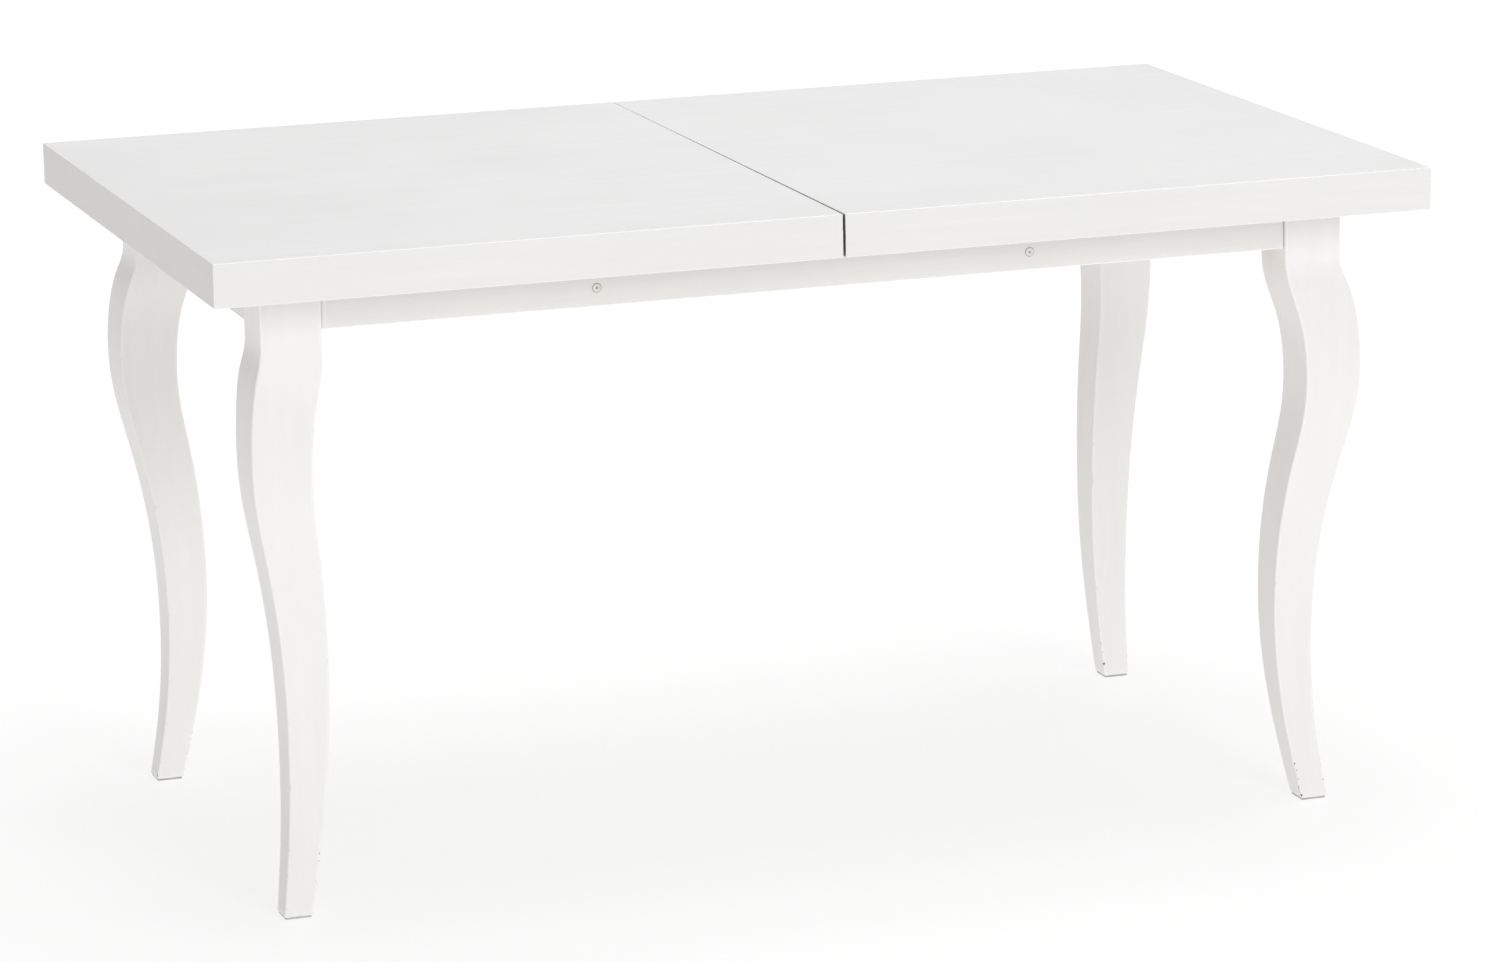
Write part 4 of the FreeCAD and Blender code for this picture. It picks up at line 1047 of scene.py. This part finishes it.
# The halves close first at the back, so the gap narrows to there.
GAP_TAPER = 0.0011
SIDE_FRONT, SIDE_RIGHT, SIDE_BACK, SIDE_LEFT = range(4)
SOCKET_DEPTH = 0.0128
SOCKET_RADIUS = 0.0044
top_tones = (0.815, 0.815, 0.815, 1), (0.802, 0.802, 0.802, 1)
top_wear = {"smooth": 0.42, "dull": 0.52, "wear": 0.66, "chips": 0.78}
top_lacquer = white_lacquer("top_lacquer", *top_tones, GRAIN_ALONG, **top_wear)
end_strip_lacquer = white_lacquer("end_strip_lacquer", *top_tones, GRAIN_ACROSS, **top_wear)


def sealed_fibreboard(name):
    """Sealed edge of fibreboard: layers of pressed fibre under a thin grey sealer."""
    finish, tree, shader = new_finish(name, Specular_IOR_Level=0.3)
    fibre = place_group(tree, wood_grain, Stretch=(300, 300, 1400), Light=(0.36, 0.34, 0.31, 1),
                        Dark=(0.30, 0.28, 0.25, 1), Pore=(0.22, 0.20, 0.17, 1))
    drift = place_group(tree, tone_drift, Light=(1, 1, 1, 1), Dark=(0.9, 0.9, 0.9, 1), Scale=20.0)
    tree.links.new(multiply_colours(tree, fibre.outputs["Color"], drift.outputs["Color"]),
                   shader.inputs["Base Color"])
    rough = spread(tree, fibre.outputs["Pores"], 0.0, 1.0, 0.6, 0.8)
    tree.links.new(rough, shader.inputs["Roughness"])
    bump_into(tree, shader, fibre.outputs["Height"], 0.4, 0.0001)
    return finish


def split_plan(x, y, toward):
    """Rectangle whose side at the split leans towards the other half: it moves over by
    nothing at the table's front edge, rising evenly to GAP_TAPER at the back edge."""
    plan = np.array(rectangle(x, y), float)
    corners = [SIDE_RIGHT, SIDE_BACK] if toward < 0 else [SIDE_FRONT, SIDE_LEFT]
    plan[corners, 0] -= toward * GAP_TAPER * (plan[corners, 1] + cad_half[1]) / (2 * cad_half[1])
    return plan


split_edge = sealed_fibreboard("split_edge")
for side, toward in (("left", -1), ("right", 1)):
    split_side, outer_end = (SIDE_RIGHT, SIDE_LEFT) if toward < 0 else (SIDE_LEFT, SIDE_RIGHT)
    low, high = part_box("top_board_" + side)
    easing = np.ones(4)
    easing[split_side] = SPLIT_EASING / TOP_EASING
    plan = split_plan((low.x, high.x), (low.y, high.y), toward)
    board = eased_block("half_top_" + side, plan, low.z, high.z, TOP_EASING,
                        (FLUSH, TOP_EASING), (None, easing), raw_sides=[split_side])
    if toward > 0:
        sockets = [turned("hole", [(SOCKET_RADIUS, -OVERRUN), (SOCKET_RADIUS, SOCKET_DEPTH)],
                          (low.x, (one[1] + two[1]) / 2, (one[2] + two[2]) / 2), (1, 0, 0), 32)
                   for one, two in solids_of("alignment_pins")]
        board = bored(board, sockets, 1)
    fit(board, top_lacquer, "top_board_" + side, raw=split_edge)
    for edge, outer_side in (("front", SIDE_FRONT), ("back", SIDE_BACK)):
        node = "edge_strip_%s_%s" % (edge, side)
        low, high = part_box(node)
        # The corner between this strip's outer side and the table's end is eased too.
        corner = {SIDE_FRONT: {-1: 0, 1: 1}, SIDE_BACK: {1: 2, -1: 3}}[outer_side][toward]
        radius = np.full(4, SHARP)
        radius[corner] = TOP_EASING
        easing = np.zeros(4)
        easing[[outer_side, outer_end]] = 1
        easing[split_side] = SPLIT_EASING / TOP_EASING
        plan = split_plan((low.x, high.x), (low.y, high.y), toward)
        strip = eased_block("lacquered_" + node, plan, low.z, high.z, radius,
                            (TOP_EASING, FLUSH), (easing, np.zeros(4)), raw_sides=[split_side])
        fit(strip, top_lacquer, node, raw=split_edge)
    low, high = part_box("edge_strip_end_" + side)
    easing = np.zeros(4)
    easing[outer_end] = 1
    strip = eased_block("lacquered_edge_strip_end_" + side, rectangle((low.x, high.x), (low.y, high.y)),
                        low.z, high.z, SHARP, (TOP_EASING, FLUSH), (easing, np.zeros(4)))
    fit(strip, end_strip_lacquer, "edge_strip_end_" + side)


# ---------------------------------------------------------------------------
# Alignment pins: fluted birch dowels glued into the left half's split edge and
# into the leaf; they enter sockets in the edge opposite.
# ---------------------------------------------------------------------------
birch = planed_wood("birch", (120, 120, 120), (0.70, 0.55, 0.36, 1), (0.62, 0.46, 0.29, 1),
                    (0.45, 0.31, 0.18, 1), roughness=0.6)
FLUTES = 16
FLUTE_DEPTH = 0.00022
PIN_CHAMFER = 0.0009


def fluted_pins(node, axis):
    """Rods whose radius falls by the flute's depth in a squared cosine of the angle times
    the number of flutes, with a chamfer at each end where the flutes run out."""
    pins = []
    for low, high in solids_of(node):
        start = (np.array(low) + high) / 2
        start[axis] = low[axis]
        length, radius = high[axis] - low[axis], (high[2] - low[2]) / 2
        angle = np.linspace(0, 2 * math.pi, FLUTES * 4, endpoint=False)[None]
        height = np.array([0, PIN_CHAMFER, length - PIN_CHAMFER, length])[:, None]
        chamfer = np.array([PIN_CHAMFER, 0, 0, PIN_CHAMFER])[:, None]
        flute = FLUTE_DEPTH * np.cos(angle * FLUTES / 2) ** 2 * (chamfer == 0)
        pins.append(round_the_axis("pin", start, np.eye(3)[axis], radius - chamfer - flute, height, angle))
    fit(join("fluted_" + node, pins), birch, node)


fluted_pins("alignment_pins", 0)


# ---------------------------------------------------------------------------
# Catches: pressed steel, two under the split. Each arm turns on a rivet under
# the left half and hooks a headed stud under the right half.
# ---------------------------------------------------------------------------
catch_steel = plated_steel("catch_steel", (0.66, 0.67, 0.68, 1), (0.56, 0.57, 0.59, 1),
                           smooth=0.30, dull=0.42, stretch=(300, 300, 300))
CATCH_EASING = 0.0005


def eased_copy(node, width, angle=35, segments=2):
    """The node's own shape with its edges eased: its loose triangles merged, flat ones made
    one face, and every edge sharper than angle bevelled by width."""
    mesh = frame["nodes"][node].data.copy()
    mesh.name = node + "_eased"
    shape = bmesh.new()
    shape.from_mesh(mesh)
    bmesh.ops.remove_doubles(shape, verts=shape.verts, dist=1e-6)
    bmesh.ops.dissolve_limit(shape, angle_limit=math.radians(0.5), verts=shape.verts,
                             edges=shape.edges)
    for face in shape.faces:
        face.smooth = True
    for edge in shape.edges:
        edge.smooth = edge.calc_face_angle(math.pi) < math.radians(angle)
    shape.to_mesh(mesh)
    shape.free()
    mesh.materials.clear()
    piece = bpy.data.objects.new(node + "_eased", mesh)
    bpy.context.scene.collection.objects.link(piece)
    bevel = piece.modifiers.new("easing", "BEVEL")
    bevel.width, bevel.segments = width, segments
    bevel.limit_method, bevel.angle_limit = "ANGLE", math.radians(angle)
    bevel.harden_normals = True
    return piece


for node in ("catch_bases", "catch_keepers", "catch_arm_front", "catch_arm_back"):
    fit(eased_copy(node, CATCH_EASING), catch_steel, node)
fit_screws("catch_base_screws", upward, True)
fit_screws("catch_keeper_screws", upward, True)


# ---------------------------------------------------------------------------
# Extension leaf: a board with two edge strips, made like the tops, stored
# turned lengthwise on the cross rails until the halves are opened for it.
# ---------------------------------------------------------------------------
LEAF_CORNER = 0.0002
low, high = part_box("leaf_board")
easing = np.ones(4)
easing[[SIDE_FRONT, SIDE_BACK]] = SPLIT_EASING / TOP_EASING
leaf = eased_block("extension_leaf", rectangle((low.x, high.x), (low.y, high.y)), low.z, high.z,
                   TOP_EASING, (LEAF_CORNER, TOP_EASING), (None, easing), raw_sides=[SIDE_FRONT, SIDE_BACK])
sockets = [turned("hole", [(SOCKET_RADIUS, -OVERRUN), (SOCKET_RADIUS, SOCKET_DEPTH)],
                  ((one[0] + two[0]) / 2, low.y, (one[2] + two[2]) / 2), (0, 1, 0), 32)
           for one, two in solids_of("leaf_pins")]
fit(bored(leaf, sockets, 1), top_lacquer, "leaf_board", raw=split_edge)
strips = []
for low, high in solids_of("leaf_edge_strips"):
    easing = np.zeros(4)
    easing[SIDE_LEFT if low[0] < 0 else SIDE_RIGHT] = 1
    easing[[SIDE_FRONT, SIDE_BACK]] = SPLIT_EASING / TOP_EASING
    strips.append(eased_block("strip", rectangle((low[0], high[0]), (low[1], high[1])), low[2], high[2],
                              LEAF_CORNER, (TOP_EASING, FLUSH), (easing, np.zeros(4)),
                              raw_sides=[SIDE_FRONT, SIDE_BACK]))
fit(join("extension_leaf_strips", strips), end_strip_lacquer, "leaf_edge_strips", raw=split_edge)
fluted_pins("leaf_pins", 1)


# ---------------------------------------------------------------------------
# Studio: a white floor with a painted soft shadow near the table, an even white
# surround, three large soft lights and the camera.
# ---------------------------------------------------------------------------
FLOOR_BOUNCE = (0.845, 0.830, 0.815, 1)
# Glow near the table, dimmer than far away: a painted shadow under the table.
FLOOR_NEAR_SHADOW = (0.745, 0.745, 0.745, 1)
FLOOR_FAR = (0.88, 0.88, 0.88, 1)
FADE_START, FADE_END = 0.6, 3.5


def studio_floor(half_size):
    """Flat square at height zero; its glow rises with the distance from the table's middle, so it is dimmer
    near the table as a painted shadow.
    """
    reach = (-half_size, half_size)
    mesh = bpy.data.meshes.new("studio_floor")
    mesh.from_pydata([(x, y, 0.0) for x, y in rectangle(reach, reach)], [], [(0, 1, 2, 3)])
    floor = bpy.data.objects.new("studio_floor", mesh)
    bpy.context.scene.collection.objects.link(floor)
    finish, tree, shader = new_finish("floor_white", Roughness=0.7, Specular_IOR_Level=0.2,
                                      Emission_Strength=1.0)
    # Its dimmer glow near the table is a painted shadow; the floor fades to pure white away from the table.
    away = add(tree, "VectorMath", {}, {0: add(tree, "TexCoord").outputs["Object"]},
               operation="LENGTH")
    glow = spread(tree, away.outputs["Value"], FADE_START, FADE_END)
    glow = blend_colours(tree, glow, FLOOR_NEAR_SHADOW, FLOOR_FAR)
    # What it throws up at the table is even and slightly warm.
    seen = add(tree, "LightPath").outputs["Is Camera Ray"]
    tree.links.new(blend_colours(tree, seen, FLOOR_BOUNCE, glow), shader.inputs["Emission Color"])
    drift = place_group(tree, tone_drift, Light=(0.26, 0.26, 0.26, 1), Dark=(0.25, 0.25, 0.25, 1),
                        Scale=0.6)
    tree.links.new(drift.outputs["Color"], shader.inputs["Base Color"])
    # Clear from below, so that it never hides the underside.
    clear = add(tree, "MixShader", {}, {0: add(tree, "NewGeometry").outputs["Backfacing"],
                                        1: shader.outputs["BSDF"],
                                        2: add(tree, "BsdfTransparent").outputs["BSDF"]})
    tree.links.new(clear.outputs["Shader"], tree.nodes["Material Output"].inputs["Surface"])
    mesh.materials.append(finish)


def soft_light(name, place, target, size, power, colour):
    """Round area light at place, turned to face target."""
    light = bpy.data.lights.new(name, "AREA")
    light.shape = "DISK"
    light.size = size
    light.energy = power
    light.color = colour
    lamp = bpy.data.objects.new(name, light)
    bpy.context.scene.collection.objects.link(lamp)
    lamp.location = place
    lamp.rotation_euler = (Vector(target) - Vector(place)).to_track_quat("-Z", "Y").to_euler()


studio_floor(40.0)
world = bpy.data.worlds.new("studio_white")
world.use_nodes = True
surround = world.node_tree.nodes["Background"]
surround.inputs["Color"].default_value = (1.0, 0.985, 0.965, 1)
surround.inputs["Strength"].default_value = 0.42
bpy.context.scene.world = world
soft_light("overhead", (0.5, 0.3, 5.0), (0.1, 0, 0.4), size=4.0, power=138.0,
           colour=(0.975, 0.985, 1.0))
soft_light("front", (1.6, -8.6, 4.2), (0, 0, 0.5), size=4.5, power=244.0,
           colour=(0.985, 1.0, 1.0))
soft_light("low_front", (-0.5, -7.5, 0.9), (0, 0, 0.4), size=3.0, power=28.0,
           colour=(0.98, 0.995, 1.0))
bpy.context.scene.view_settings.view_transform = "Standard"

AZIMUTH, ELEVATION, ROLL = math.radians(-19.251), math.radians(13.284), math.radians(-0.848)
CAMERA_PLACE = Vector((-2.1065, -6.0863, 1.8875))
SENSOR_WIDTH, FOCAL_LENGTH = 36.0, 138.6
back = Vector((math.sin(AZIMUTH) * math.cos(ELEVATION), -math.cos(AZIMUTH) * math.cos(ELEVATION),
               math.sin(ELEVATION)))
right = Vector((math.cos(AZIMUTH), math.sin(AZIMUTH), 0))
up = back.cross(right)
right, up = (math.cos(ROLL) * right + math.sin(ROLL) * up,
             math.cos(ROLL) * up - math.sin(ROLL) * right)
lens = bpy.data.cameras.new("camera")
lens.sensor_width = SENSOR_WIDTH
lens.lens = FOCAL_LENGTH
camera = bpy.data.objects.new("camera", lens)
bpy.context.scene.collection.objects.link(camera)
turned_to = Matrix((right, up, back)).transposed().to_4x4()
camera.matrix_world = Matrix.Translation(CAMERA_PLACE) @ turned_to
bpy.context.scene.camera = camera

bpy.context.view_layer.update()
